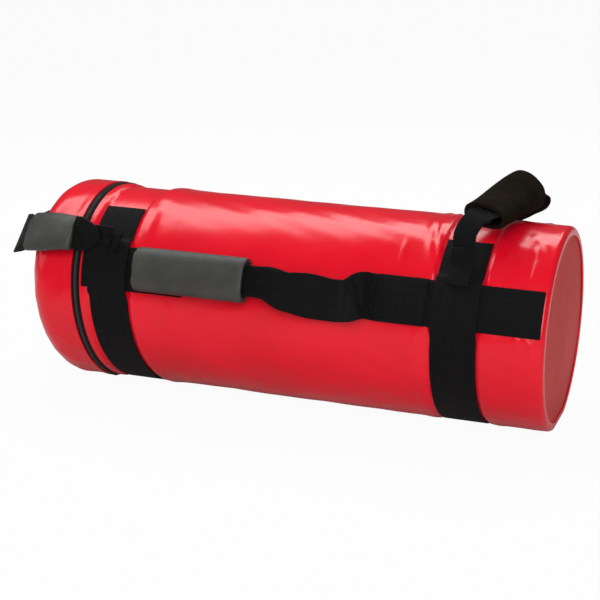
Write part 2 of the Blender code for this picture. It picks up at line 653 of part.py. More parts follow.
def cutter(name, bm):
    """A shape that only serves another object's Boolean."""
    mesh = bpy.data.meshes.new(name)
    bm.to_mesh(mesh)
    bm.free()
    obj = bpy.data.objects.new(name, mesh)
    obj.hide_render = True
    obj.display_type = "WIRE"
    guides.objects.link(obj)
    return obj


def rounded_sizes(count, width_at, thick_at, step):
    """Width and thickness along a strip; the width shrinks to a round at folded ends."""
    sizes = []
    for i in range(count):
        share = i / (count - 1)
        width, thick = width_at(share), thick_at(share)
        from_end = min(i, count - 1 - i) * step
        short = max(1.0 - (from_end + step / 3.0) / (FOLD_WIDTH / 2.0), 0.0)
        sizes.append((width * math.sqrt(1.0 - short * short), thick))
    return sizes


def folded(share, ends, full, start, done):
    """Value that is one thing at both folded ends of a loop and another between."""
    edge = min(share, 1.0 - share)
    return ends + (full - ends) * ramp(edge, start, done)


def path_length(points):
    return sum((b - a).length for a, b in zip(points, points[1:]))


def make_left_handle(lid_pivot):
    """The left loop, flopped over the lid. It turns at its two roots and rides on the lid."""
    fold = axis_point(LEFT_FOLD_X, 0.0, LEFT_FOLD_RISE)
    loop_pivot = pivot("left_handle_pivot", fold, lid_pivot)
    half = [fold - Vector((LEFT_REACH * x, LEFT_SPAN * y, LEFT_DROP * z)) for x, y, z in LEFT_PATH_SHARES]
    rear = [Vector((p.x, -p.y, p.z)) for p in reversed(half[:-1])]
    points = smooth_path(half + rear, LEFT_STEPS)
    widths = []
    for i in range(LEFT_STEPS + 1):
        share = i / LEFT_STEPS
        edge = min(share, 1.0 - share)
        lying = ramp(edge, *LEFT_TURN_SHARES)
        tip = ramp(edge, *LEFT_TIP_SHARES)
        back = math.copysign(LEFT_LYING.y * (1.0 - tip), 0.5 - share)
        flat = Vector((LEFT_LYING.x + LEFT_TIP_LEAN * tip, back, LEFT_LYING.z))
        widths.append(flat * lying + Vector((0.0, 0.0, 1.0)) * (1.0 - lying))
    frames = path_frames(points, widths)
    step = path_length(points) / LEFT_STEPS
    first, last = LEFT_SLEEVE_START_SHARE, LEFT_SLEEVE_END_SHARE

    def width_at(share):
        width = folded(share, FOLD_WIDTH, WEB_WIDTH, *LEFT_OPEN_SHARES)
        before, near, after = GATHER_SHARES
        inside = ramp(share, first - before, first - near) * (1.0 - ramp(share, last + near, last + after))
        return width + (min(GATHERED_WIDTH, width) - width) * inside

    def thick_at(share):
        return folded(share, FOLD_THICK, WEB_THICK, *LEFT_THIN_SHARES)

    sizes = rounded_sizes(len(frames), width_at, thick_at, step)
    band("left_handle", frames, sizes, "black_webbing", loop_pivot)
    sleeve("left_grip", part_of_frames(frames, first, last), SLEEVE_LEFT_DEPTH, loop_pivot)
    for side, word in ((-1, "front"), (1, "rear")):
        make_left_root(side, "left_root_" + word, fold)


def make_left_root(side, name, fold):
    """The sewn root of the left loop: flat on the strap, then standing on edge beside it."""
    over = 3.0 * GAP + 2.0 * WEB_THICK + FOLD_THICK / 2.0 + 2.0 * GAP
    sewn_x = STRAP_LEFT_EDGE + WEB_WIDTH / 2.0
    radius = bag_radius(sewn_x) + over
    inner_y = side * (LEFT_SPAN - FOLD_THICK - 3.0 * GAP)
    places = zip((sewn_x + WEB_WIDTH / 4.0, sewn_x), ROOT_SEWN_ANGLES)
    points = [skin(x, -side * angle, radius, radius * 2.0) for x, angle in places]
    points += [Vector((fold.x + LEFT_LAP * share, inner_y, fold.z)) for share in ROOT_KNEE_SHARES]
    points = smooth_path(points, ROOT_STEPS)
    turn = math.radians(ROOT_SEWN_ANGLES[1])
    flat = Vector((0.0, side * math.cos(turn), -math.sin(turn)))
    widths = []
    for i in range(ROOT_STEPS + 1):
        standing = ramp(i / ROOT_STEPS, *ROOT_TURN_SHARES)
        widths.append(Vector((0.0, 0.0, -1.0)) * standing + flat * (1.0 - standing))
    frames = path_frames(points, widths)
    step = path_length(points) / ROOT_STEPS
    sizes = []
    for i in range(ROOT_STEPS + 1):
        short = max(1.0 - ((ROOT_STEPS - i) * step + step / 3.0) / (ROOT_WIDTH / 2.0), 0.0)
        sizes.append((ROOT_WIDTH * math.sqrt(1.0 - short * short), FOLD_THICK))
    band(name, frames, sizes, "black_webbing")


def make_right_handle():
    """The right loop, standing and leaning outwards, on its two roots."""
    base = axis_point(RIGHT_PIVOT_X, 0.0, RIGHT_PIVOT_RISE)
    loop_pivot = pivot("right_handle_pivot", base)
    points = [base + Vector((RIGHT_REACH * x, RIGHT_SPAN * y, RIGHT_RISE * z))
              for x, y, z in RIGHT_PATH_SHARES]
    points = smooth_path(points, RIGHT_STEPS)
    widths = []
    for i in range(RIGHT_STEPS + 1):
        share = i / RIGHT_STEPS
        width = RIGHT_WIDTHS[0][1]
        for start, (stop, aim) in zip(RIGHT_TURN_SHARES, RIGHT_WIDTHS[1:]):
            width = width.lerp(aim, ramp(share, start, stop))
        widths.append(width)
    frames = path_frames(points, widths)
    step = path_length(points) / RIGHT_STEPS
    first, last = RIGHT_SLEEVE_START_SHARE, RIGHT_SLEEVE_END_SHARE

    def width_at(share):
        return folded(share, FOLD_WIDTH, GATHERED_WIDTH, RIGHT_OPEN_SHARE, first)

    def thick_at(share):
        return folded(share, FOLD_THICK, WEB_THICK, RIGHT_THIN_SHARE, first)

    sizes = rounded_sizes(len(frames), width_at, thick_at, step)
    band("right_handle", frames, sizes, "black_webbing", loop_pivot)
    sleeve("right_grip", part_of_frames(frames, first, last), SLEEVE_RIGHT_DEPTH, loop_pivot,
           sag=RIGHT_SLEEVE_SAG)
    for side, word in ((-1, "front"), (1, "rear")):
        make_right_root(side, "right_root_" + word, base)


def make_right_root(side, name, base):
    """The sewn root of the right loop: flat on the strap, then standing outside the loop."""
    over = 3.0 * GAP + 2.0 * WEB_THICK + FOLD_THICK / 2.0 + GAP
    radius = bag_radius(base.x) + over
    outer_y = side * (RIGHT_SPAN + FOLD_THICK + 2.0 * GAP)
    foot = [skin(base.x, -side * angle, radius, radius * 2.0) for angle in RIGHT_FOOT_ANGLES]
    top = Vector((base.x, outer_y, base.z + LAP / 2.0))
    low = Vector((base.x, outer_y, base.z - LAP / 2.0))
    knee = Vector((base.x, outer_y + side * FOLD_THICK / 2.0, base.z - 2.0 * LAP))
    points = smooth_path(foot + [knee, low, top], ROOT_STEPS)
    frames = path_frames(points, [Vector((1.0, 0.0, 0.0))] * (ROOT_STEPS + 1))
    sizes = [(FOLD_WIDTH, FOLD_THICK) for _ in frames]
    band(name, frames, sizes, "black_webbing")


def make_side_handle():
    """The long handle along the front: webbing bowed over a hand's space, a sleeve on it."""
    sewn_lift = 3.0 * GAP + 2.0 * WEB_THICK
    start, end = strip_edges(1)
    flat_strip("side_anchor", SIDE_ANCHOR_START, SIDE_ANCHOR_END, facet_angles(start, end),
               2.0 * GAP + WEB_THICK)
    side_pivot = pivot("side_handle_slide", skin(0.0, SIDE_ANGLE, bag_radius(0.0)))
    length = SIDE_ANCHOR_START - 2.0 * GAP - SIDE_LEFT_END
    sleeve_share = (SIDE_SLEEVE_START + SIDE_SLEEVE_LENGTH - SIDE_LEFT_END) / length
    rows_middle, frames, sizes = [], [], []
    for i in range(SIDE_STEPS + 1):
        share = i / SIDE_STEPS
        x = SIDE_LEFT_END + length * share
        lift = SIDE_LIFT * table_value(SIDE_LIFT_SHARES, share)
        angle = SIDE_ANGLE + table_value(SIDE_SAG_SHARES, share)
        rows_middle.append(skin(x, angle, bag_radius(x) + max(lift, sewn_lift - WEB_THICK / 2.0)))
        opened = ramp(share, sleeve_share, sleeve_share + SIDE_OPEN_SHARE)
        width = GATHERED_WIDTH + (WEB_WIDTH - GATHERED_WIDTH) * opened
        sizes.append((width, WEB_THICK))
    turn = math.radians(SIDE_ANGLE)
    down = Vector((0.0, -math.cos(turn), -math.sin(turn)))
    frames = path_frames(rows_middle, [down] * len(rows_middle))
    band("side_handle", frames, sizes, "black_webbing", side_pivot)
    sleeve_foot = skin(SIDE_SLEEVE_START, SIDE_ANGLE, bag_radius(SIDE_SLEEVE_START))
    slide = pivot("side_grip_slide", sleeve_foot, side_pivot)
    tube = [skin(SIDE_SLEEVE_START + SIDE_SLEEVE_LENGTH * i, SIDE_ANGLE, bag_radius(0.0) + SIDE_LIFT)
            for i in (0, 1)]
    sleeve("side_grip", path_frames(tube, [down] * 2), SLEEVE_SIDE_DEPTH, slide)


clear_scene()
parts = new_collection("sandbag_trainer")
guides = new_collection("guides")
zip_middle = BAG_LEFT - GAP - ZIP_TAPE_WIDTH - GAP - ZIP_CHAIN_WIDTH - GAP / 2.0
lid_edge = 2.0 * zip_middle - BAG_LEFT
hinge_x = lid_edge + lean_shift(lid_edge, LID_RADIUS)
lid_axis = pivot("lid_pivot", axis_point(hinge_x, 0.0, LID_RADIUS))
make_shell()
make_end_disc()
make_filling()
make_straps()
make_zip_and_lid(lid_axis)
make_slider(zip_middle)
make_left_handle(lid_axis)
make_right_handle()
make_side_handle()
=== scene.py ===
import math
import bpy
import numpy as np
from mathutils import Matrix, Vector


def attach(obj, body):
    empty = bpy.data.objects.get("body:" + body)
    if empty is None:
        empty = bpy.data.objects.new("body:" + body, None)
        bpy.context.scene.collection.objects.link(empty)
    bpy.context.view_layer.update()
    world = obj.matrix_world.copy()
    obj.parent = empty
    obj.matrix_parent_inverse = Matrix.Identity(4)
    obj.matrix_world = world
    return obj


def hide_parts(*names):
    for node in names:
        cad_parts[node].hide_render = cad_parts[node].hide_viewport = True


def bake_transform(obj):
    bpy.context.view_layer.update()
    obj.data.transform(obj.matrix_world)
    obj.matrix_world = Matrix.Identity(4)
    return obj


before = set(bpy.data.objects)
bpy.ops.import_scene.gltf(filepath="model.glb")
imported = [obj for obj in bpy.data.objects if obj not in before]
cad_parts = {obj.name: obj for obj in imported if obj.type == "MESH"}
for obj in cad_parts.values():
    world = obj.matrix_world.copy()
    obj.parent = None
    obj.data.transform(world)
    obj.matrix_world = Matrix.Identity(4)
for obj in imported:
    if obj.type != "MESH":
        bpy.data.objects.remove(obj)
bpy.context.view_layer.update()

for leftover in [obj for obj in bpy.data.objects if obj.type in {"CAMERA", "LIGHT"}]:
    bpy.data.objects.remove(leftover)

bag = {
    "left": -0.2574, "right": 0.2834, "radiusLeft": 0.1176, "radiusRight": 0.1133,
    "axisHeight": 0.110, "lean": 4.3, "leanStart": -0.135, "leanFull": -0.195,
    "gap": 0.0003, "wall": 0.0016, "webThick": 0.002, "webWidth": 0.05,
    "strapLeft": -0.2453, "strapRight": 0.1629, "sideAngle": 66.8, "stripSpan": 24.8,
    "skinRadius": 0.116, "bandRadius": 0.118,  # mean radii that turn angles into lengths for the weave
}


def softStep(value, start, full):
    share = np.clip((value - start) / (full - start), 0.0, 1.0)
    return share * share * (3.0 - 2.0 * share)


def easeTo(first, second, share, start, full):
    return first + (second - first) * softStep(share, start, full)


def bagRadius(x):
    share = np.clip((x - bag["left"]) / (bag["right"] - bag["left"]), 0.0, 1.0)
    return bag["radiusLeft"] + (bag["radiusRight"] - bag["radiusLeft"]) * share


def skinPoint(x, angle, radius, full=None):
    turn = np.radians(angle)
    whole = np.maximum(radius, bagRadius(x)) if full is None else full
    flat = bag["axisHeight"] * np.minimum(radius / whole, 1.0)  # the underside lies flat on the floor
    height = np.maximum(radius * np.cos(turn), -flat)
    slope = math.tan(math.radians(bag["lean"]))
    shift = slope * height * softStep(x, bag["leanStart"], bag["leanFull"])  # the zip end leans back
    return np.stack([x - shift, -radius * np.sin(turn), bag["axisHeight"] + height], axis=-1)


def turnedGrid(px, pr, around):
    angle = np.linspace(0.0, 360.0, around + 1)[None, :]
    return px[:, None] + 0 * angle, pr[:, None] + 0 * angle, angle + 0 * px[:, None]


def arcPoints(x, r, radius, start, stop, steps):
    turn = np.radians(np.linspace(start, stop, steps))
    return list(zip(x + radius * np.cos(turn), r + radius * np.sin(turn)))


def selectOnly(piece):
    bpy.ops.object.select_all(action="DESELECT")
    piece.select_set(True)
    bpy.context.view_layer.objects.active = piece


def gridPiece(name, points, uv=None, capEnds=False, sharp=50.0, weld=0.000005):
    rows, columns = points.shape[0], points.shape[1]
    bpy.ops.object.select_all(action="DESELECT")
    bpy.ops.mesh.primitive_grid_add(x_subdivisions=columns - 1, y_subdivisions=rows - 1, size=2.0)
    piece = bpy.context.object
    piece.name = name
    mesh = piece.data
    mesh.name = name
    flat = np.zeros(len(mesh.vertices) * 3)
    mesh.vertices.foreach_get("co", flat)
    flat = flat.reshape(-1, 3)
    column = np.rint((flat[:, 0] + 1.0) / 2.0 * (columns - 1)).astype(int)
    row = np.rint((flat[:, 1] + 1.0) / 2.0 * (rows - 1)).astype(int)
    mesh.vertices.foreach_set("co", points[row, column].ravel())
    if uv is not None:
        index = np.zeros(len(mesh.loops), dtype=int)
        mesh.loops.foreach_get("vertex_index", index)
        mesh.uv_layers[0].data.foreach_set("uv", uv[row, column][index].ravel())
    bpy.ops.object.mode_set(mode="EDIT")
    bpy.ops.mesh.select_all(action="SELECT")
    bpy.ops.mesh.remove_doubles(threshold=weld)
    bpy.ops.mesh.dissolve_degenerate(threshold=weld)
    if capEnds:
        bpy.ops.mesh.select_all(action="SELECT")
        bpy.ops.mesh.fill_holes(sides=0)
    bpy.ops.mesh.select_all(action="SELECT")
    bpy.ops.mesh.normals_make_consistent(inside=False)
    bpy.ops.object.mode_set(mode="OBJECT")
    bpy.ops.object.shade_smooth_by_angle(angle=math.radians(sharp))
    return piece


def finish(piece, material, body, nodes, blend=None):
    piece.data.materials.clear()
    piece.data.materials.append(material)
    if blend:
        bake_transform(piece)
    else:
        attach(piece, body)
    if nodes:
        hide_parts(*nodes)
    return piece


def smoothPath(points, steps, fine=60):
    points = np.array(points, dtype=float)
    dense = []
    last = len(points) - 1
    for i in range(last):
        before, here, there, after = points[max(i - 1, 0)], points[i], points[i + 1], points[min(i + 2, last)]
        for t in np.arange(fine) / fine:  # a Catmull-Rom curve through the points
            dense.append((here * 2 + (there - before) * t
                          + (before * 2 - here * 5 + there * 4 - after) * t * t
                          + (here * 3 - before - there * 3 + after) * t ** 3) / 2)
    dense = np.array(dense + [points[-1]])
    reach = np.concatenate([[0.0], np.cumsum(np.linalg.norm(np.diff(dense, axis=0), axis=1))])
    want = np.linspace(0.0, reach[-1], steps + 1)
    return np.stack([np.interp(want, reach, dense[:, i]) for i in range(3)], axis=1), reach[-1]


def pathFrames(points, widths):
    ahead = np.gradient(points, axis=0)
    ahead /= np.linalg.norm(ahead, axis=1)[:, None]
    across = widths - ahead * (widths * ahead).sum(1)[:, None]
    across /= np.linalg.norm(across, axis=1)[:, None]
    return points, across, np.cross(across, ahead), ahead


webbing = {
    "bevel": 0.024, "bevelTurns": (30, 60, 90),  # rounded edge, as a share of the width
    "looseEnds": (0.55, 0.9), "sewnEnds": (0.6, 0.92),  # thickness shares of the last rows
    "pleats": 2.5, "sharp": 60.0,
}


def webbingOutline(across=20):
    bevel = webbing["bevel"]
    flat = [(bevel - 0.5 + (1.0 - 2.0 * bevel) * i / across, 0.5) for i in range(across + 1)]
    turns = [math.radians(turn) for turn in webbing["bevelTurns"]]
    edge = [(0.5 - bevel + bevel * math.sin(turn), 0.5 * math.cos(turn)) for turn in turns]
    half = flat + edge + [(w, -t) for w, t in reversed(edge[:-1])]
    loop = half + [(-w, -t) for w, t in half]
    return np.array(loop + loop[:1])


def endPinch(i, count, pinches):
    end = min(i, count - 1 - i)
    return pinches[end] if end < len(pinches) else 1.0


def bandPiece(name, frames, widths, thicks, length, pleat=None):
    middle, across, face = frames[:3]
    loop = webbingOutline()
    rows, uvs = [], []
    steps = len(middle)
    for i in range(steps):
        rise = loop[:, 1] * thicks[i] * endPinch(i, steps, webbing["looseEnds"])
        if pleat is not None:
            rise = rise + pleat[i] * np.cos(loop[:, 0] * 2 * math.pi * webbing["pleats"])
        rows.append(middle[i] + across[i] * (loop[:, 0] * widths[i])[:, None] + face[i] * rise[:, None])
        along = np.full(len(loop), length * i / (steps - 1))
        uvs.append(np.stack([along, loop[:, 0] * bag["webWidth"]], axis=1))
    return gridPiece(name, np.array(rows), np.array(uvs), capEnds=True, sharp=webbing["sharp"])


def roundedEnd(width, distance, radius, least=0.0004):
    short = np.clip(1.0 - (distance + 0.0003) / radius, 0.0, 1.0)
    return width * np.sqrt(1.0 - short ** 2) + least


def newMaterial(name, color, roughness, metallic=0.0):
    made = bpy.data.materials.new(name)
    made.use_nodes = True
    made.diffuse_color = (*color, 1.0)
    shader = made.node_tree.nodes["Principled BSDF"]
    shader.inputs["Base Color"].default_value = (*color, 1.0)
    shader.inputs["Roughness"].default_value = roughness
    shader.inputs["Metallic"].default_value = metallic
    return made, made.node_tree.nodes, made.node_tree.links, shader


def addNode(nodes, links, kind, values=None, feeds=None):
    node = nodes.new(kind)
    for key, value in (values or {}).items():
        node.inputs[key].default_value = value
    for key, socket in (feeds or {}).items():
        links.new(socket, node.inputs[key])
    return node


def mathNode(nodes, links, operation, first, second=None):
    node = nodes.new("ShaderNodeMath")
    node.operation = operation
    for i, value in enumerate((first, second)):
        if value is None:
            continue
        if isinstance(value, (int, float)):
            node.inputs[i].default_value = value
        else:
            links.new(value, node.inputs[i])
    return node.outputs[0]


def noiseNode(nodes, links, coords, scale, detail, roughness=0.5):
    values = {"Scale": scale, "Detail": detail, "Roughness": roughness}
    return addNode(nodes, links, "ShaderNodeTexNoise", values, {"Vector": coords}).outputs["Fac"]


def tintByNoise(nodes, links, shader, noise, dark, light, stops=(0.35, 0.65)):
    ramp = nodes.new("ShaderNodeValToRGB")
    for element, stop, color in zip(ramp.color_ramp.elements, stops, (dark, light)):
        element.position = stop
        element.color = (*color, 1.0)
    links.new(noise, ramp.inputs["Fac"])
    links.new(ramp.outputs["Color"], shader.inputs["Base Color"])


def addBump(nodes, links, shader, height, strength, distance, under=None):
    feeds = {"Height": height}
    if under is not None:
        feeds["Normal"] = under
    bump = addNode(nodes, links, "ShaderNodeBump", {"Strength": strength, "Distance": distance}, feeds)
    links.new(bump.outputs["Normal"], shader.inputs["Normal"])
    return bump.outputs["Normal"]


def coatedFabric(name, dark, light, roughness, specular, grain):
    made, nodes, links, shader = newMaterial(name, light, roughness)
    coords = nodes.new("ShaderNodeTexCoord").outputs["Object"]
    tintByNoise(nodes, links, shader, noiseNode(nodes, links, coords, scale=9.0, detail=3.0), dark, light)
    shader.inputs["Specular IOR Level"].default_value = specular
    fine = noiseNode(nodes, links, coords, scale=900.0, detail=2.0)
    crumple = noiseNode(nodes, links, coords, scale=34.0, detail=4.0, roughness=0.55)
    wide = addBump(nodes, links, shader, crumple, strength=grain, distance=0.0016)
    addBump(nodes, links, shader, fine, strength=0.16, distance=0.0002, under=wide)
    return made


def webbingMaterial(name, dark, light, pitch=0.0024, chevron=0.0062, thread=0.0016, sheen=0.25):
    made, nodes, links, shader = newMaterial(name, dark, roughness=0.78)
    uv = nodes.new("ShaderNodeTexCoord").outputs["UV"]
    split = addNode(nodes, links, "ShaderNodeSeparateXYZ", feeds={"Vector": uv})
    along, over = split.outputs["X"], split.outputs["Y"]
    zigzag = mathNode(nodes, links, "PINGPONG", over, chevron)
    diagonal = mathNode(nodes, links, "ADD", mathNode(nodes, links, "MULTIPLY", along, 2 * math.pi / pitch),
                        mathNode(nodes, links, "MULTIPLY", zigzag, 2 * math.pi / pitch))
    rib = mathNode(nodes, links, "SINE", diagonal)
    cord = mathNode(nodes, links, "SINE", mathNode(nodes, links, "MULTIPLY", over, 2 * math.pi / thread))
    height = mathNode(nodes, links, "ADD", mathNode(nodes, links, "MULTIPLY", rib, 0.6),
                      mathNode(nodes, links, "MULTIPLY", cord, 0.4))
    coords = nodes.new("ShaderNodeTexCoord").outputs["Object"]
    lint = noiseNode(nodes, links, coords, scale=260.0, detail=5.0, roughness=0.7)
    tintByNoise(nodes, links, shader, lint, dark, light, stops=(0.52, 0.78))
    shader.inputs["Sheen Weight"].default_value = sheen
    shader.inputs["Sheen Roughness"].default_value = 0.5
    shader.inputs["Specular IOR Level"].default_value = 0.12
    addBump(nodes, links, shader, height, strength=0.55, distance=0.0004)
    return made


def foamMaterial(name, dark, light, poreScale=1500.0, roughness=0.88, specular=0.2):
    made, nodes, links, shader = newMaterial(name, light, roughness)
    coords = nodes.new("ShaderNodeTexCoord").outputs["Object"]
    tintByNoise(nodes, links, shader, noiseNode(nodes, links, coords, scale=45.0, detail=6.0), dark, light)
    pores = addNode(nodes, links, "ShaderNodeTexVoronoi", {"Scale": poreScale}, {"Vector": coords})
    soft = noiseNode(nodes, links, coords, scale=60.0, detail=4.0)
    wide = addBump(nodes, links, shader, soft, strength=0.25, distance=0.0010)
    addBump(nodes, links, shader, pores.outputs["Distance"], strength=0.35, distance=0.0003, under=wide)
    shader.inputs["Specular IOR Level"].default_value = specular
    return made


def metalMaterial(name, color, roughness, metallic=1.0):
    made, nodes, links, shader = newMaterial(name, color, roughness, metallic)
    coords = nodes.new("ShaderNodeTexCoord").outputs["Object"]
    dark = tuple(c * 0.8 for c in color)
    tintByNoise(nodes, links, shader, noiseNode(nodes, links, coords, scale=400.0, detail=3.0), dark, color)
    cast = noiseNode(nodes, links, coords, scale=1800.0, detail=2.0)
    addBump(nodes, links, shader, cast, strength=0.2, distance=0.0002)
    return made


redFabric = coatedFabric("redFabric", (0.62, 0.003, 0.013), (0.70, 0.004, 0.019),
                         roughness=0.22, specular=0.34, grain=0.30)
endFabric = coatedFabric("endFabric", (0.52, 0.034, 0.032), (0.60, 0.046, 0.040),
                         roughness=0.62, specular=0.22, grain=0.2)
blackWebbing = webbingMaterial("blackWebbing", (0.0022, 0.0024, 0.0030), (0.0070, 0.0070, 0.0075), sheen=0.02)
blackTape = webbingMaterial("blackTape", (0.0040, 0.0034, 0.0034), (0.0100, 0.0085, 0.0085),
                            pitch=0.0011, chevron=0.0008, sheen=0.03)
greyFoam = foamMaterial("greyFoam", (0.024, 0.025, 0.021), (0.037, 0.039, 0.033), roughness=0.50, specular=0.45)
darkFoam = foamMaterial("darkFoam", (0.0060, 0.0040, 0.0020), (0.0110, 0.0076, 0.0040), specular=0.04)
creamFoam = foamMaterial("creamFoam", (0.66, 0.61, 0.48), (0.76, 0.72, 0.60), poreScale=700.0)
canvas = webbingMaterial("canvas", (0.42, 0.35, 0.24), (0.52, 0.45, 0.33), pitch=0.0016, chevron=0.05)
tieCord = webbingMaterial("tieCord", (0.52, 0.49, 0.42), (0.62, 0.59, 0.52), pitch=0.0020, chevron=0.003)
greyCoil = metalMaterial("greyCoil", (0.024, 0.022, 0.022), roughness=0.6, metallic=0.0)
castMetal = metalMaterial("castMetal", (0.46, 0.46, 0.47), roughness=0.34)
print("finishes ready")


shellPiece = {
    "around": 288, "along": 190, "rimRound": 0.006, "rimSteps": 10, "lip": 0.004,
    "grooveEdge": 0.0003, "grooveSlope": 0.005,  # from a band's edge to its groove, and the groove's side
    "bulge": 0.0009, "bulgeAway": 0.012, "bulgeSpread": 0.008,  # the skin swells beside each band
    "rimCalm": 0.012, "zipCalm": 0.008, "bandCalm": 0.0008,  # no wrinkles this near
    "innerStops": (0.2, 0.1, 0.0, -0.135, -0.165, -0.195),  # x of the rings inside
    "creaseFade": 0.25, "rearNudge": 0.003,
    # start x, angle, end x, angle (m, degrees), half width (m), height (m)
    "creases": [
        (0.1370, 12.0, 0.1480, 34.0, 0.0040, 0.0014), (0.1480, 32.0, 0.1585, 52.0, 0.0026, 0.0014),
        (0.1490, 12.0, 0.1535, 26.0, 0.0022, 0.0012), (0.1535, 25.0, 0.1590, 41.0, 0.0022, 0.0011),
        (0.1575, 17.0, 0.1610, 28.0, 0.0020, 0.0008), (0.1440, 16.0, 0.1540, 44.0, 0.0024, -0.0013),
        (0.2514, 16.0, 0.2623, 31.0, 0.0028, 0.0014), (0.2626, 37.0, 0.2630, 51.0, 0.0026, 0.0012),
        (0.2660, 22.0, 0.2730, 30.0, 0.0030, 0.0014), (0.2700, 37.0, 0.2700, 52.0, 0.0026, 0.0011),
        (0.2570, 20.0, 0.2590, 48.0, 0.0032, -0.0012), (0.2148, 81.0, 0.2175, 88.0, 0.0022, 0.0012),
        (0.2541, 80.0, 0.2562, 86.0, 0.0020, 0.0010), (0.2633, 80.0, 0.2700, 88.0, 0.0022, 0.0014),
        (0.2700, 80.5, 0.2740, 92.0, 0.0024, 0.0012), (0.1475, 83.0, 0.1391, 100.0, 0.0026, 0.0013),
        (0.1196, 31.0, 0.1203, 47.0, 0.0030, 0.0009), (-0.1456, 84.0, -0.1413, 97.0, 0.0040, 0.0010),
        (0.2310, 34.0, 0.2290, 48.0, 0.0024, 0.0008), (0.2720, 76.0, 0.2700, 112.0, 0.0030, 0.0009),
        (-0.1800, 24.0, -0.1770, 46.0, 0.0034, 0.0009), (0.1500, 104.0, 0.1530, 134.0, 0.0036, 0.0010),
        (0.2290, 106.0, 0.2260, 138.0, 0.0036, 0.0010), (-0.2520, 92.0, -0.2500, 120.0, 0.0022, 0.0010),
    ],
    # height (m), rate along x, sway and its lobes, lobes round the bag and their drift along x
    "wideWave": (0.00045, 31.0, 2.0, 3.0, 5.0, 9.0), "fineWave": (0.00030, 83.0, 7.0, 4.0, 9.0, -23.0),
}


def creaseHeight(x, angle):
    lift = np.zeros(np.broadcast(x, angle).shape)
    turned = (angle + 180.0) % 360.0 - 180.0
    arc = math.radians(1.0) * bag["skinRadius"]
    fade = shellPiece["creaseFade"]
    for side, nudge in ((1.0, 0.0), (-1.0, shellPiece["rearNudge"])):
        for x0, a0, x1, a1, width, height in shellPiece["creases"]:
            along = np.array([x1 - x0, side * (a1 - a0) * arc])
            length = np.linalg.norm(along)
            fromX, fromY = x - (x0 + nudge), turned * arc - side * a0 * arc
            share = np.clip((fromX * along[0] + fromY * along[1]) / length ** 2, -fade, 1.0 + fade)
            off = np.hypot(fromX - share * along[0], fromY - share * along[1])
            shown = softStep(share, -fade, fade) * (1.0 - softStep(share, 1.0 - fade, 1.0 + fade))
            lift += height * shown * np.exp(-(off / width) ** 2)
    return lift


def softWaves(x, angle):
    turn = np.radians(angle)
    height, rate, sway, swayLobes, lobes, drift = shellPiece["wideWave"]
    wide = height * np.sin(rate * x + sway * np.sin(turn * swayLobes)) * np.cos(turn * lobes + drift * x)
    height, rate, sway, swayLobes, lobes, drift = shellPiece["fineWave"]
    return wide + height * np.sin(rate * x + sway * np.cos(turn * swayLobes)) * np.sin(turn * lobes + drift * x)


def makeShell():
    settings = shellPiece
    sink = bag["webThick"] + bag["gap"]
    bend = settings["rimRound"]
    rimX = bag["right"] - bend
    near, far = settings["grooveEdge"], settings["grooveEdge"] + settings["grooveSlope"]
    bands = [(left, left + bag["webWidth"]) for left in (bag["strapLeft"], bag["strapRight"])]
    edges = [edge for left, right in bands for edge in (left - far, left - near, right + near, right + far)]
    x = np.sort(np.concatenate([np.linspace(bag["left"], rimX, settings["along"] + 1), edges]))
    radius = bagRadius(x)
    for left, right in bands:
        inside = softStep(x, left - far, left - near) * (1.0 - softStep(x, right + near, right + far))
        swollen = [left - settings["bulgeAway"], right + settings["bulgeAway"]]
        beside = sum(np.exp(-((x - place) / settings["bulgeSpread"]) ** 2) for place in swollen)
        radius = radius - sink * inside + settings["bulge"] * beside
    wrinkle = 1.0 - softStep(x, rimX - settings["rimCalm"], rimX)
    wrinkle *= softStep(x, bag["left"], bag["left"] + settings["zipCalm"])
    for left, right in bands:
        wrinkle *= 1.0 - (x > left - settings["bandCalm"]) * (x < right + settings["bandCalm"])
    rimR = float(bagRadius(rimX))
    arcX, arcR = np.array(arcPoints(rimX, rimR - bend, bend, 90.0, 0.0, settings["rimSteps"])[1:]).T
    lipR = rimR - bend - settings["lip"]
    inner = sink + bag["wall"]
    lipX = bag["right"] - bag["wall"]
    inX = np.array([bag["right"], lipX, lipX, rimX, *settings["innerStops"], bag["left"]])
    inR = np.concatenate([[lipR, lipR, rimR - bend, rimR - inner], bagRadius(inX[4:]) - inner])
    px = np.concatenate([x, arcX, inX, x[:1]])
    pr = np.concatenate([radius, arcR, inR, radius[:1]])
    weight = np.concatenate([wrinkle, np.zeros(len(px) - len(x))])[:, None]
    gridX, gridR, gridA = turnedGrid(px, pr, settings["around"])
    gridR = gridR + weight * (creaseHeight(gridX, gridA) + softWaves(gridX, gridA))
    uv = np.stack([gridX, np.radians(gridA) * bag["skinRadius"]], axis=-1)
    return gridPiece("bagShell", skinPoint(gridX, gridA, gridR), uv, sharp=45.0)


finish(makeShell(), redFabric, "bag", ["shell_tube"])
print("red tube ready")


def diskPoints(profile, around, full, lift=None):
    px, pr = np.array(profile).T
    gridX, gridR, gridA = turnedGrid(px, pr, around)
    if lift is not None:
        gridX = gridX + lift(gridR, gridA)
    uv = np.stack([gridR, np.radians(gridA) * bag["skinRadius"]], axis=-1)
    return skinPoint(gridX, gridA, gridR, full), uv


endPiece = {
    "front": 0.2815, "wall": 0.002, "radius": 0.1070, "crown": 0.0016,
    "around": 192, "rings": 36, "innerStep": 6,
    # height (m), rate along the radius and lobes of both waves, radius (m) of the calm middle
    "ripple": (0.00035, 70.0, 2.0, 40.0, 3.0, 0.03),
}


def endRipple(r, angle):
    turn = np.radians(angle)
    height, rate, lobes, otherRate, otherLobes, calm = endPiece["ripple"]
    return (height * np.sin(r * rate + turn * lobes) * np.cos(turn * otherLobes + otherRate * r)
            * softStep(r, 0.0, calm))


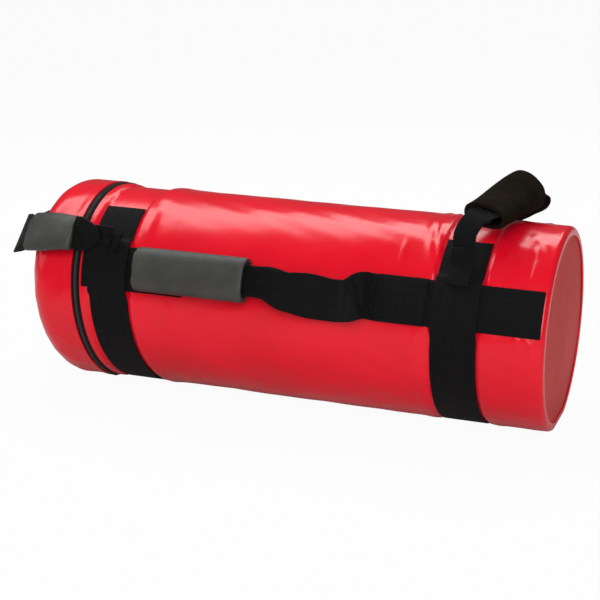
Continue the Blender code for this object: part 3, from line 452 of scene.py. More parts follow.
def makeEnd():
    settings = endPiece
    face, back = settings["front"], settings["front"] - settings["wall"]
    reach = np.linspace(0.0, 1.0, settings["rings"])
    outer = [(face + settings["crown"] * (1.0 - s ** 2), settings["radius"] * s) for s in reach]
    inner = [(back, settings["radius"] * s) for s in reach[::-settings["innerStep"]]] + [(back, 0.0)]
    points, uv = diskPoints(outer + inner, settings["around"], float(bagRadius(bag["right"])), endRipple)
    return gridPiece("endDisc", points, uv, sharp=45.0)


finish(makeEnd(), endFabric, "bag", ["end_disc"])
print("sewn end ready")


def wrappedBand(name, span, angles, lift, across=20, alongBag=False):
    loop = webbingOutline(across)
    width = span[1] - span[0]
    x = np.clip((span[0] + span[1]) / 2.0 + loop[:, 0] * width, *span)
    rows, uvs = [], []
    for i, angle in enumerate(angles):
        base = lift(angle) if callable(lift) else lift
        thick = bag["webThick"] * endPinch(i, len(angles), webbing["sewnEnds"])
        radius = bagRadius(x) + base + bag["webThick"] / 2.0 + loop[:, 1] * thick
        rows.append(skinPoint(x, np.full(len(x), angle), radius))
        roundBag = np.full(len(x), math.radians(angle) * bag["bandRadius"])
        uvs.append(np.stack([x, roundBag] if alongBag else [roundBag, loop[:, 0] * width], axis=1))
    return gridPiece(name, np.array(rows), np.array(uvs), capEnds=True, sharp=webbing["sharp"])


strapPiece = {"cut": 26.5, "rearCut": 30.5, "steps": 300, "climb": (1.0, 6.0)}  # degrees beside a strip


def strapLift(angle):
    turned = (angle + 180.0) % 360.0 - 180.0
    away = abs(abs(turned) - bag["sideAngle"]) - bag["stripSpan"] / 2.0
    over = 1.0 - float(softStep(away, *strapPiece["climb"]))
    return 2.0 * (bag["webThick"] + bag["gap"]) * over - bag["webThick"]


for name, node in (("strapLeft", "strap_left"), ("strapRight", "strap_right")):
    angles = np.linspace(strapPiece["cut"], 360.0 - strapPiece["rearCut"], strapPiece["steps"])
    piece = wrappedBand(name, (bag[name], bag[name] + bag["webWidth"]), angles, strapLift)
    finish(piece, blackWebbing, "bag", [node])

stripPiece = {"left": (-0.2550, -0.1270), "right": (0.0950, 0.2790), "anchor": (0.0996, 0.1560),
              "steps": 40, "across": 60}


def makeStrip(name, node, span, side, lift):
    middle, half = bag["sideAngle"] * side, bag["stripSpan"] / 2.0
    angles = np.linspace(middle - half, middle + half, stripPiece["steps"])
    piece = wrappedBand(name, span, angles, lift, stripPiece["across"], alongBag=True)
    finish(piece, blackWebbing, "bag", [node])


for side, word in ((1, "Front"), (-1, "Rear")):
    for end in ("left", "right"):
        node = "strip_%s_%s" % (end, word.lower())
        makeStrip("strip" + end.capitalize() + word, node, stripPiece[end], side, bag["gap"])
makeStrip("sideAnchor", "side_anchor", stripPiece["anchor"], 1, bag["webThick"] + 2.0 * bag["gap"])
print("sewn webbing ready")


lidPiece = {
    "edge": -0.2677, "radius": 0.1206, "depth": 0.0635, "round": 0.030, "crown": 0.002, "wall": 0.0018,
    "around": 288, "faceRings": 22, "roundRings": 22, "sideRings": 16, "innerRings": 10,
    "faceShare": 0.97, "crownShare": 0.9, "innerShares": (0.6, 0.3, 0.0),
    "rimCalm": (0.012, 0.002), "waveRadii": (0.03, 0.1), "faceRadii": (0.085, 0.115), "faceCalm": 0.03,
    "sideWave": (0.0009, 7.0, 2.0, 2.0, 60.0),  # height (m), lobes, sway and its lobes, rate along x
    "fineWave": (0.0005, 13.0, 110.0),  # height (m), lobes, rate along x
    "faceWave": (0.0012, 60.0, 3.0, 0.7),  # height (m), rate along the radius, lobes, phase
    "padThick": 0.02, "padAround": 96, "padTurn": 124.0, "padTurnRings": 8, "padShares": (0.95, 0.9),
    "padFaceRings": 10, "padBackRings": 14, "padEdge": (0.0012, 0.0022),
}


def makeLid():
    settings = lidPiece
    edge, radius, bend, wall = settings["edge"], settings["radius"], settings["round"], settings["wall"]
    end, reach = edge - settings["depth"], radius - bend
    outer = [(end - settings["crown"] * (1.0 - (s * settings["crownShare"]) ** 2), reach * s)
             for s in np.linspace(0.0, settings["faceShare"], settings["faceRings"])]
    outer += arcPoints(end + bend, reach, bend, 180.0, 90.0, settings["roundRings"])
    outer += [(x, radius) for x in np.linspace(end + bend, edge, settings["sideRings"])[1:]]
    inner = [(edge, radius - wall)]
    inner += arcPoints(end + bend, reach, bend - wall, 90.0, 180.0, settings["innerRings"])
    inner += [(end + wall, reach * s) for s in settings["innerShares"]]
    profile = np.array(outer + inner)
    gridX, gridR, gridA = turnedGrid(profile[:, 0], profile[:, 1], settings["around"])
    turn = np.radians(gridA)
    shown = np.zeros(len(profile))
    shown[:len(outer)] = 1.0
    calmFrom, calmFull = settings["rimCalm"]
    shown = (shown * (1.0 - softStep(profile[:, 0], edge - calmFrom, edge - calmFull)))[:, None]
    height, lobes, sway, swayLobes, rate = settings["sideWave"]
    wave = height * np.sin(turn * lobes + sway * np.cos(turn * swayLobes)) * np.sin((gridX - edge) * rate)
    height, lobes, rate = settings["fineWave"]
    wave = wave + height * np.sin(turn * lobes + rate * gridX)
    gridR = gridR - shown * softStep(gridR, *settings["waveRadii"]) * np.abs(wave)
    height, rate, lobes, phase = settings["faceWave"]
    onFace = (1.0 - softStep(gridR, *settings["faceRadii"])) * softStep(gridR, 0.0, settings["faceCalm"])
    gridX = gridX + shown * onFace * height * np.sin(gridR * rate) * np.cos(turn * lobes + phase)
    uv = np.stack([gridX, np.radians(gridA) * bag["skinRadius"]], axis=-1)
    return gridPiece("lidShell", skinPoint(gridX, gridA, gridR, radius), uv, sharp=45.0)


finish(makeLid(), redFabric, "lid", ["lid_shell"])


def makeLidPad():
    settings = lidPiece
    bend, clearance = settings["round"], settings["wall"] + bag["gap"]
    end, reach = settings["edge"] - settings["depth"], settings["radius"] - bend
    face = end + clearance
    back = face + settings["padThick"]
    faceShare, backShare = settings["padShares"]
    edgeX, edgeR = settings["padEdge"]
    turn, rings = settings["padTurn"], settings["padTurnRings"]
    profile = [(face, reach * s) for s in np.linspace(0.0, faceShare, settings["padFaceRings"])]
    profile += arcPoints(end + bend, reach, bend - clearance, 180.0, turn, rings)
    widest = profile[-1][1]
    profile += [(back - edgeX, widest), (back, widest - edgeR)]
    profile += [(back, (widest - edgeR) * s) for s in np.linspace(backShare, 0.0, settings["padBackRings"])]
    points, uv = diskPoints(profile, settings["padAround"], settings["radius"])
    return gridPiece("lidPad", points, uv, sharp=50.0)


lidPad = finish(makeLidPad(), creamFoam, "lid", ["lid_pad"])
print("lid ready")


filling = {
    "around": 144, "linerWall": 0.022, "linerRight": 0.257, "linerInset": 0.0005, "linerSlack": 0.0002,
    "linerEdge": 0.003, "linerBevel": 0.0009, "linerRings": 26,
    "padThick": 0.02, "padEdge": 0.0008, "padShare": 0.97, "padRings": 14, "padAround": 96,
    "pouches": 3, "pouchLeft": -0.3011, "pouchRound": 0.03, "pouchSlack": 0.0004,
    # along the neck from its mouth and radius (m); the tie sits half way along the neck
    "neck": [(0.011, 0.0), (0.009, 0.006), (0.002, 0.022), (0.0, 0.025), (0.0006, 0.026),
             (0.004, 0.02236), (0.008, 0.01612), (0.011, 0.012), (0.015, 0.012), (0.019, 0.015),
             (0.023, 0.0228), (0.0255, 0.0336)],
    "neckLength": 0.026, "shoulderFrom": 0.042, "shoulderRings": 8, "roundRings": (14, 12), "sideRings": 12,
    "backShare": 0.8, "backRings": 8,
    "pleats": (14.0, 1.5, 3.0), "pleatDepth": 0.16, "pleatSpread": 0.020,  # lobes, sway and its lobes
    "dents": (5.0, 60.0), "dentDepth": 0.0010,  # lobes, rate along x
    "tieRing": 0.0149, "tieSink": 0.0004, "tieTurns": 2.0, "tieHalf": 0.0011, "tieSteps": 96,
    "cordRadius": 0.00105, "cordSides": 10,
}
skinDepth = bag["webThick"] + bag["gap"] + bag["wall"] + bag["gap"]  # from the outline to the lining


def makeLiner():
    settings = filling
    left, right, wall = bag["left"] + settings["linerInset"], settings["linerRight"], settings["linerWall"]
    edge, bevel = settings["linerEdge"], settings["linerBevel"]
    x = np.linspace(left, right, settings["linerRings"])
    out = bagRadius(x) - skinDepth - settings["linerSlack"]
    px = np.concatenate([[left, left + bevel], x[1:-1], [right, right], x[-2:0:-1], [left + bevel, left, left]])
    pr = np.concatenate([[out[0] - edge, out[0] - bevel], out[1:-1], [out[-1], out[-1] - wall],
                         out[-2:0:-1] - wall, [out[0] - wall + bevel, out[0] - wall + edge, out[0] - edge]])
    gridX, gridR, gridA = turnedGrid(px, pr, settings["around"])
    return gridPiece("foamLiner", skinPoint(gridX, gridA, gridR), sharp=40.0)


finish(makeLiner(), creamFoam, "bag", ["foam_liner"])


def makeBasePad():
    settings = filling
    left = settings["linerRight"] + bag["gap"]
    right = left + settings["padThick"]
    radius = float(bagRadius(right)) - skinDepth - bag["wall"] - bag["gap"]
    reach = np.linspace(0.0, settings["padShare"], settings["padRings"])
    profile = [(right, radius * s) for s in reach]
    profile += [(right - settings["padEdge"], radius), (left + settings["padEdge"], radius)]
    profile += [(left, radius * s) for s in reach[::-1]]
    points, uv = diskPoints(profile, settings["padAround"], float(bagRadius(right)))
    return gridPiece("basePad", points, uv, sharp=40.0)


finish(makeBasePad(), creamFoam, "bag", ["base_pad"])


def makePouch(number, left, length):
    settings = filling
    right = left + length
    full = float(bagRadius(right))
    radius = full - (skinDepth + settings["linerWall"] + 2.0 * bag["gap"]) - settings["pouchSlack"]
    bend = settings["pouchRound"]
    shoulder, tieX = left + settings["neckLength"], left + settings["neckLength"] / 2.0
    frontRings, backRings = settings["roundRings"]
    profile = [(left + x, r) for x, r in settings["neck"]]
    profile += [(shoulder, r)
                for r in np.linspace(settings["shoulderFrom"], radius - bend, settings["shoulderRings"])]
    profile += arcPoints(shoulder + bend, radius - bend, bend, 180.0, 90.0, frontRings)[1:]
    profile += [(x, radius) for x in np.linspace(shoulder + bend, right - bend, settings["sideRings"])[1:]]
    profile += arcPoints(right - bend, radius - bend, bend, 90.0, 0.0, backRings)[1:]
    profile += [(right, (radius - bend) * s)
                for s in np.linspace(settings["backShare"], 0.0, settings["backRings"])]
    px, pr = np.array(profile).T
    gridX, gridR, gridA = turnedGrid(px, pr, settings["around"])
    turn = np.radians(gridA)
    near = np.exp(-((gridX - tieX) / settings["pleatSpread"]) ** 2)
    lobes, sway, swayLobes = settings["pleats"]
    pleats = 0.5 + 0.5 * np.sin(turn * lobes + sway * np.sin(turn * swayLobes + number))
    lobes, rate = settings["dents"]
    dents = 0.5 + 0.5 * np.sin(turn * lobes + rate * gridX)
    narrowed = 1.0 - settings["pleatDepth"] * near * pleats
    gridR = gridR * narrowed - settings["dentDepth"] * (1.0 - near) * dents
    gridR = np.maximum(gridR, 0.0) * (pr[:, None] > 0)
    uv = np.stack([turn * 0.09, gridX], axis=-1)  # 0.09 m: about the pouch's radius
    return gridPiece("pouch%d" % number, skinPoint(gridX, gridA, gridR, full), uv, sharp=60.0), tieX, full


def makeTie(number, tieX, full):
    settings = filling
    turn = np.linspace(0.0, 2.0 * math.pi * settings["tieTurns"], settings["tieSteps"] + 1)
    coilX = tieX + settings["tieHalf"] * (2.0 * turn / turn[-1] - 1.0)
    radius = np.full(len(turn), settings["tieRing"] - settings["tieSink"])
    line = skinPoint(coilX, np.degrees(turn), radius, full)
    across, face = pathFrames(line, np.tile([1.0, 0.0, 0.0], (len(line), 1)))[1:3]
    around = np.linspace(0.0, 2.0 * math.pi, settings["cordSides"] + 1)
    rows, uvs = [], []
    for i in range(len(line)):
        thick = settings["cordRadius"] * (1.0 if 0 < i < len(line) - 1 else 0.5)
        rows.append(line[i] + across[i] * (thick * np.cos(around))[:, None]
                    - face[i] * (thick * np.sin(around))[:, None])
        uvs.append(np.stack([np.full(len(around), turn[i] * settings["tieRing"]), around * thick], axis=1))
    return gridPiece("tie%d" % number, np.array(rows), np.array(uvs), capEnds=True, sharp=60.0)


slotLength = (filling["linerRight"] - filling["pouchLeft"]) / filling["pouches"]
for number in range(1, filling["pouches"] + 1):
    left = filling["pouchLeft"] + slotLength * (number - 1)
    pouch, tieX, full = makePouch(number, left, slotLength - bag["gap"])
    finish(pouch, canvas, "bag", ["filler_pouch_%d" % number])
    finish(makeTie(number, tieX, full), tieCord, "bag", ["filler_tie_%d" % number])
print("filling ready")


zipPiece = {
    "middle": -0.26255, "start": 18.15, "stop": 294.8, "steps": 260, "weaveRadius": 0.12,
    "tapeWidth": 0.003, "tapeRadius": 0.1196, "tapeThick": 0.003,
    "coilWidth": 0.0014, "coilRadius": 0.1210, "pitch": 0.0015, "beadHalf": 0.0009, "beadShare": 0.40,
    "coreSink": 0.0007, "coreThick": 0.0023, "coreRound": 0.0003,
    "hingeFrom": -62.5, "hingeTo": 18.0, "hingeSteps": 70, "hingeRound": 0.0012,
    "hingeBlend": ((-0.2579, 0.0, 0.2), (-0.2674, 0.0, 0.2)),
}


def ringProfile(near, far, radius, thick, edge=0.0007):
    low, high = min(near, far), max(near, far)
    bevel = edge * 0.3
    flank = [(0.0, thick), (0.0, edge), (bevel, bevel), (edge, 0.0)]
    loop = [(low + x, radius - down) for x, down in flank]
    loop += [(high - x, radius - down) for x, down in reversed(flank)]
    return np.array(loop + loop[:1])


def ringPiece(name, profile, start, stop, steps, full):
    angle = np.linspace(start, stop, steps)
    gridA = angle[:, None] + 0 * profile[None, :, 0]
    gridX = profile[None, :, 0] + 0 * gridA
    gridR = profile[None, :, 1] + 0 * gridA
    uv = np.stack([np.radians(gridA) * zipPiece["weaveRadius"], gridX], axis=-1)
    return gridPiece(name, skinPoint(gridX, gridA, gridR, full), uv, capEnds=True, sharp=50.0)


def makeBeads(tooth, side, full):
    settings = zipPiece
    span = settings["stop"] - settings["start"]
    count = int(math.radians(span) * settings["coilRadius"] / settings["pitch"])
    shift = 0.5 if side > 0 else 0.0  # the two rows of teeth stand between each other
    half = settings["beadHalf"]
    size = Matrix.Diagonal((settings["coilWidth"] * 0.5, settings["pitch"] * settings["beadShare"], half, 1.0))
    bpy.ops.object.select_all(action="DESELECT")
    bpy.ops.mesh.primitive_ico_sphere_add(subdivisions=1, radius=1.0)
    bead = bpy.context.object
    beads = []
    for i in range(count - 1):
        angle = settings["start"] + span * (i + 0.5 + shift) / count
        copy = bead.copy()
        copy.data = bead.data.copy()
        bpy.context.scene.collection.objects.link(copy)
        here = skinPoint(np.array(tooth + side * settings["coilWidth"] / 2.0), np.array(angle),
                         np.array(settings["coilRadius"] - half), full)
        spin = Matrix.Rotation(math.radians(angle), 4, "X")
        copy.data.transform(Matrix.Translation(Vector(here)) @ spin @ size)
        beads.append(copy)
    bpy.data.objects.remove(bead)
    return beads


def makeZipSide(side, word, body):
    settings = zipPiece
    tooth = settings["middle"] + side * bag["gap"] / 2.0
    tape = tooth + side * (settings["coilWidth"] + bag["gap"])
    full = lidPiece["radius"] + bag["gap"]
    sweep = (settings["start"], settings["stop"], settings["steps"], full)
    profile = ringProfile(tape, tape + side * settings["tapeWidth"], settings["tapeRadius"],
                          settings["tapeThick"])
    piece = ringPiece("zipTape" + word, profile, *sweep)
    finish(piece, blackTape, body, ["zip_tape_" + word.lower()])
    coreRadius = settings["coilRadius"] - settings["coreSink"]
    profile = ringProfile(tooth, tooth + side * settings["coilWidth"], coreRadius,
                          settings["coreThick"], settings["coreRound"])
    core = ringPiece("zipCoil" + word, profile, *sweep)
    beads = makeBeads(tooth, side, full)
    selectOnly(core)
    for bead in beads:
        bead.select_set(True)
    bpy.ops.object.join()
    finish(core, greyCoil, body, ["zip_teeth_" + word.lower()])


def makeHinge():
    settings = zipPiece
    profile = ringProfile(lidPiece["edge"] + bag["gap"], bag["left"] - bag["gap"], settings["tapeRadius"],
                          settings["tapeThick"], settings["hingeRound"])
    hinge = ringPiece("hingeStrip", profile, settings["hingeFrom"], settings["hingeTo"], settings["hingeSteps"],
                      lidPiece["radius"])
    finish(hinge, blackTape, None, ["lid_hinge_strip"],
           blend=("bag", "lid", *settings["hingeBlend"]))


makeZipSide(1, "Body", "bag")
makeZipSide(-1, "Lid", "lid")
makeHinge()
print("zip ready")


sleeveMould = {
    "sides": 72, "squareness": 2.4, "cutEdge": 0.0007, "taperEnd": 0.55, "shapeFrom": 0.35,
    "jagWaves": [(0.5, 5.0, 1.0), (0.3, 11.0, 0.0), (0.6, 2.0, 0.0)],  # share, lobes, phase
    "grainStep": 0.002, "grainRadius": 0.02,
}


def ovalRing(width, depth):
    turn = np.linspace(0.0, 2.0 * math.pi, sleeveMould["sides"] + 1)
    power = 2.0 / sleeveMould["squareness"]
    u, v = [np.sign(wave) * np.abs(wave) ** power for wave in (np.cos(turn), np.sin(turn))]
    return u * width / 2.0, v * depth / 2.0, turn


# near is the width share at the sleeve's start; slant cuts its far end askew and dome rounds it
def sleevePiece(name, frames, width, depth, wall, sag=0.0, jag=(0.0, 0.0), near=1.0, slant=0.0, dome=0.0):
    settings = sleeveMould
    middle, across, face, ahead = frames
    steps = len(middle)
    order = list(range(steps)) + list(range(steps - 1, -1, -1))
    rows, uvs = [], []
    for place, i in enumerate(order + order[:1]):
        outside = place < steps or place == 2 * steps
        inset = 0.0 if outside else wall
        atEnd = i in (0, steps - 1)
        share = i / (steps - 1)
        full = width * easeTo(near, 1.0, share, 0.0, settings["taperEnd"])
        u, v, turn = ovalRing(full - 2.0 * inset, depth - 2.0 * inset)
        if atEnd:
            shrink = settings["cutEdge"] if outside else -settings["cutEdge"]
            u, v = u * (1.0 - 2.0 * shrink / full), v * (1.0 - 2.0 * shrink / depth)
        shape = dome * (1.0 - (2.0 * u / full) ** 2) - slant * (0.5 - u / full)
        slip = softStep(share, settings["shapeFrom"], 1.0) * shape
        if atEnd:
            ragged = sum(part * np.sin(turn * lobes + phase) for part, lobes, phase in settings["jagWaves"])
            slip = slip + (jag[0] if i == 0 else jag[1]) * ragged
        rows.append(middle[i] + across[i] * u[:, None] + face[i] * (v - sag)[:, None]
                    + ahead[i] * slip[:, None])
        along = np.full(len(u), i * settings["grainStep"])
        uvs.append(np.stack([along, turn * settings["grainRadius"]], axis=1))
    return gridPiece(name, np.array(rows), np.array(uvs), sharp=55.0)


def stretch(items, start, stop):
    last = len(items[0]) - 1
    chosen = slice(round(start * last), round(stop * last) + 1)
    return tuple(item[chosen] for item in items)


leftLoop = {
    "fold": (-0.2440, 0.0, 0.1930), "reach": 0.144, "half": 0.110, "drop": 0.0315, "rearDrop": 0.006,
    "steps": 240,
    # shares of reach, half and drop, from the front root to the tip
    "path": [(-0.082, 1.00, 0.00), (0.12, 1.00, 0.00), (0.30, 0.995, 0.02), (0.62, 0.87, 0.24),
             (0.855, 0.61, 0.60), (0.96, 0.28, 0.90), (1.00, 0.00, 1.00)],
    "flatten": (0.056, 0.082), "tip": (0.27, 0.42),  # shares where the legs lie down and the tip begins
    "leanAhead": (0.12, 0.34), "leanSide": 0.64, "leanUp": 0.78,  # direction of the width, legs and tip
    "legWidth": 0.024, "fullWidth": 0.05, "widen": (0.10, 0.20), "corner": 0.012,
    "frontWidths": ((0.0, 0.012, 0.055, 0.10), (0.022, 0.024, 0.043, 0.043)),  # shares, widths (m)
    "legThick": 0.004, "thin": (0.06, 0.12), "sleeve": (0.075, 0.243),
    "gathered": 0.036, "gatherIn": (-0.04, 0.01), "gatherOut": (0.01, 0.05),  # beside the sleeve's ends
    "foam": {"width": 0.05, "depth": 0.0156, "wall": 0.0048, "jag": (0.0004, 0.0026),
             "near": 0.86, "slant": 0.010},
    "lap": 0.011, "rootWidth": 0.022, "rootSteps": 40, "rootStand": (0.10, 0.48), "rootCorner": 0.0002,
    "rootSewn": ((0.0125, 54.0), (0.0, 53.0)),  # x from the strap's middle (m), angle
    "rootLaps": (1.8, 1.3, -1.0), "rootBlend": (-0.2260, -0.2520),
}


def makeLeftLoop():
    settings = leftLoop
    size = np.array([-settings["reach"], -settings["half"], -settings["drop"]])
    half = [np.array(settings["fold"]) + size * np.array(point) for point in settings["path"]]
    rear = [point * np.array([1.0, -1.0, 1.0]) for point in reversed(half[:-1])]
    for point in rear[-2:]:
        point[2] -= settings["rearDrop"]
    steps = settings["steps"]
    points, length = smoothPath(half + rear, steps)
    share = np.arange(steps + 1) / steps
    edge = np.minimum(share, 1.0 - share)
    front = share < 0.5
    lying = softStep(edge, *settings["flatten"])[:, None]
    aheadLeg, aheadTip = settings["leanAhead"]
    tip = softStep(edge, *settings["tip"])
    lean = np.stack([aheadLeg + (aheadTip - aheadLeg) * tip,
                     settings["leanSide"] * (1.0 - tip) * np.where(front, 1.0, -1.0),
                     np.full(len(share), settings["leanUp"])], axis=1)
    frames = pathFrames(points, lean * lying + np.array([0.0, 0.0, 1.0]) * (1.0 - lying))
    full = settings["fullWidth"]
    frontWidth = np.interp(edge, *settings["frontWidths"])
    frontWidth = frontWidth + (full - settings["frontWidths"][1][-1]) * softStep(edge, *settings["widen"])
    width = np.where(front, frontWidth, easeTo(settings["legWidth"], full, edge, *settings["widen"]))
    first, last = settings["sleeve"]
    inside = softStep(share, *(first + offset for offset in settings["gatherIn"]))
    inside = inside * (1.0 - softStep(share, *(last + offset for offset in settings["gatherOut"])))
    width = width + (np.minimum(settings["gathered"], width) - width) * inside
    width = roundedEnd(width, edge * length, settings["corner"])
    thick = easeTo(settings["legThick"], bag["webThick"], edge, *settings["thin"])
    piece = bandPiece("leftLoop", frames, width, thick, length)
    finish(piece, blackWebbing, "left_loop", ["left_handle"])
    tube = sleevePiece("leftGrip", stretch(frames, first, last), **settings["foam"])
    finish(tube, greyFoam, "left_loop", ["left_grip"])


def makeLeftRoot(side, name, node):
    settings = leftLoop
    sewnX = bag["strapLeft"] + bag["webWidth"] / 2.0
    over = 5.0 * bag["gap"] + 2.0 * bag["webThick"] + settings["legThick"] / 2.0
    radius = np.array(float(bagRadius(sewnX)) + over)
    innerY = side * (settings["half"] - settings["legThick"] - 3.0 * bag["gap"])
    foldX, foldZ = settings["fold"][0], settings["fold"][2] - (settings["rearDrop"] if side > 0 else 0.0)
    sewn = [skinPoint(np.array(sewnX + offset), np.array(-side * angle), radius, radius * 2.0)
            for offset, angle in settings["rootSewn"]]
    lap, steps = settings["lap"], settings["rootSteps"]
    rest = [np.array([foldX + lap * laps, innerY, foldZ]) for laps in settings["rootLaps"]]
    points, length = smoothPath(sewn + rest, steps)
    share = np.arange(steps + 1) / steps
    standing = softStep(share, *settings["rootStand"])[:, None]
    turn = math.radians(settings["rootSewn"][-1][1])
    flat = np.array([0.0, side * math.cos(turn), -math.sin(turn)])
    frames = pathFrames(points, np.array([0.0, 0.0, -1.0]) * standing + flat * (1.0 - standing))
    width = roundedEnd(settings["rootWidth"], (1.0 - share) * length, lap, settings["rootCorner"])
    piece = bandPiece(name, frames, width, np.full(steps + 1, settings["legThick"]), length)
    blendFrom, blendTo = [(x, 0.0, foldZ) for x in settings["rootBlend"]]
    finish(piece, blackWebbing, None, [node], blend=("bag", "lid", blendFrom, blendTo))


makeLeftLoop()
makeLeftRoot(-1, "leftRootFront", "left_root_front")
makeLeftRoot(1, "leftRootRear", "left_root_rear")
print("left handle ready")

rightLoop = {
    "base": (0.1879, 0.0, 0.2085), "half": 0.080, "rise": 0.043, "reach": 0.043, "steps": 200,
    # shares of reach, half and rise, from the front root to the rear one
    "path": [(0.00, -1.00, -0.28), (0.00, -1.00, 0.10), (0.02, -0.98, 0.45), (0.18, -0.90, 0.76),
             (0.32, -0.80, 0.88), (0.40, -0.72, 0.90), (0.64, 0.00, 0.98), (0.88, 0.72, 1.04),
             (1.02, 0.90, 0.95), (1.05, 1.00, 0.68), (0.80, 1.02, 0.36), (0.40, 1.00, 0.14),
             (-0.22, 1.00, -0.11)],
    # shares along the loop between which its width turns, and the direction it turns to
    "widths": [(0.0, 0.0, (1.00, 0.0, 0.05)), (0.10, 0.22, (0.98, -0.20, -0.12)),
               (0.25, 0.65, (0.70, -0.10, -0.66)), (0.74, 0.92, (0.50, 0.0, -0.86))],
    "legWidth": 0.024, "fullWidth": 0.034, "widenFrom": 0.16, "corner": 0.012,
    "narrowBy": 0.008, "narrowTo": 0.78, "legThick": 0.004, "thinFrom": 0.12, "sleeve": (0.225, 0.65),
    "foam": {"width": 0.05, "depth": 0.026, "wall": 0.0048, "sag": 0.0036, "jag": (0.0006, 0.0006),
             "dome": 0.010},
    "rootSteps": 40, "rootAngles": (57.0, 52.0), "rootBlend": (-0.022, 0.002),
    "rootRise": ((0.002, -0.016), (0.0, -0.004), (0.0, 0.004)),  # outwards and up from the base (m)
}


def makeRightLoop():
    settings = rightLoop
    size = np.array([settings["reach"], settings["half"], settings["rise"]])
    points = [np.array(settings["base"]) + size * np.array(point) for point in settings["path"]]
    steps = settings["steps"]
    points, length = smoothPath(points, steps)
    share = np.arange(steps + 1) / steps
    widths = np.tile(np.array(settings["widths"][0][2]), (steps + 1, 1))
    for start, stop, aim in settings["widths"][1:]:
        turned = softStep(share, start, stop)[:, None]
        widths = widths * (1.0 - turned) + np.array(aim) * turned
    frames = pathFrames(points, widths)
    edge = np.minimum(share, 1.0 - share)
    first, last = settings["sleeve"]
    width = easeTo(settings["legWidth"], settings["fullWidth"], edge, settings["widenFrom"], first)
    width = width - settings["narrowBy"] * softStep(share, last, settings["narrowTo"])
    width = roundedEnd(width, edge * length, settings["corner"])
    thick = easeTo(settings["legThick"], bag["webThick"], edge, settings["thinFrom"], first)
    piece = bandPiece("rightLoop", frames, width, thick, length)
    finish(piece, blackWebbing, "right_loop", ["right_handle"])
    tube = sleevePiece("rightGrip", stretch(frames, first, last), **settings["foam"])
    finish(tube, darkFoam, "right_loop", ["right_grip"])


def makeRightRoot(side, name, node):
    settings = rightLoop
    baseX, baseZ = settings["base"][0], settings["base"][2]
    over = 4.0 * bag["gap"] + 2.0 * bag["webThick"] + settings["legThick"] / 2.0
    radius = np.array(float(bagRadius(baseX)) + over)
    outerY = side * (settings["half"] + settings["legThick"] + 2.0 * bag["gap"])
    foot = [skinPoint(np.array(baseX), np.array(-side * angle), radius, radius * 2.0)
            for angle in settings["rootAngles"]]
    rest = [np.array([baseX, outerY + side * out, baseZ + up]) for out, up in settings["rootRise"]]
    steps = settings["rootSteps"]
    points, length = smoothPath(foot + rest, steps)
    frames = pathFrames(points, np.tile(np.array([1.0, 0.0, 0.0]), (steps + 1, 1)))
    same = np.ones(steps + 1)
    piece = bandPiece(name, frames, same * settings["legWidth"], same * settings["legThick"], length)
    blendFrom, blendTo = [(baseX, 0.0, baseZ + up) for up in settings["rootBlend"]]
    finish(piece, blackWebbing, None, [node], blend=("bag", "right_loop", blendFrom, blendTo))


makeRightLoop()
makeRightRoot(-1, "rightRootFront", "right_root_front")
makeRightRoot(1, "rightRootRear", "right_root_rear")
print("right handle ready")

sideLoop = {
    "left": -0.1845, "right": 0.0994, "lift": 0.0188, "steps": 300, "split": -0.12,
    "sleeveStart": -0.174, "sleeveLength": 0.131, "sleeveRings": 40,
    "foam": {"width": 0.05, "depth": 0.03, "wall": 0.0048, "jag": (0.0010, 0.0004)},
    "gathered": 0.034, "widenOver": 0.3, "bendBy": 0.004, "bendIn": (0.72, 0.84), "bendOut": (0.93, 0.975),
    "pleat": 0.0010, "pleatOver": 0.26, "pleatFrom": (0.02, 0.06),
    "leftBlend": (0.0005, 0.0085), "rightStill": 0.002, "rightLifted": -0.03, "blendHeight": 0.18,
    # shares along the webbing and of its lift
    "rise": [(0.00, 0.185), (0.006, 0.185), (0.036, 1.00), (0.50, 1.00), (0.62, 0.86), (0.74, 0.52),
             (0.86, 0.40), (0.90, 0.66), (0.935, 0.92), (0.96, 0.72), (0.987, 0.185), (1.00, 0.185)],
    # shares along the webbing, degrees that it hangs lower
    "sag": [(0.00, 0.0), (0.575, 0.0), (0.67, 3.0), (0.86, 4.4), (0.92, 3.8), (0.975, 0.0), (1.00, 0.0)],
}


def tableValue(table, share):
    value = np.full(np.shape(share), table[0][1], dtype=float)
    for (s0, v0), (s1, v1) in zip(table, table[1:]):
        value = value + (v1 - v0) * softStep(share, s0, s1)
    return value


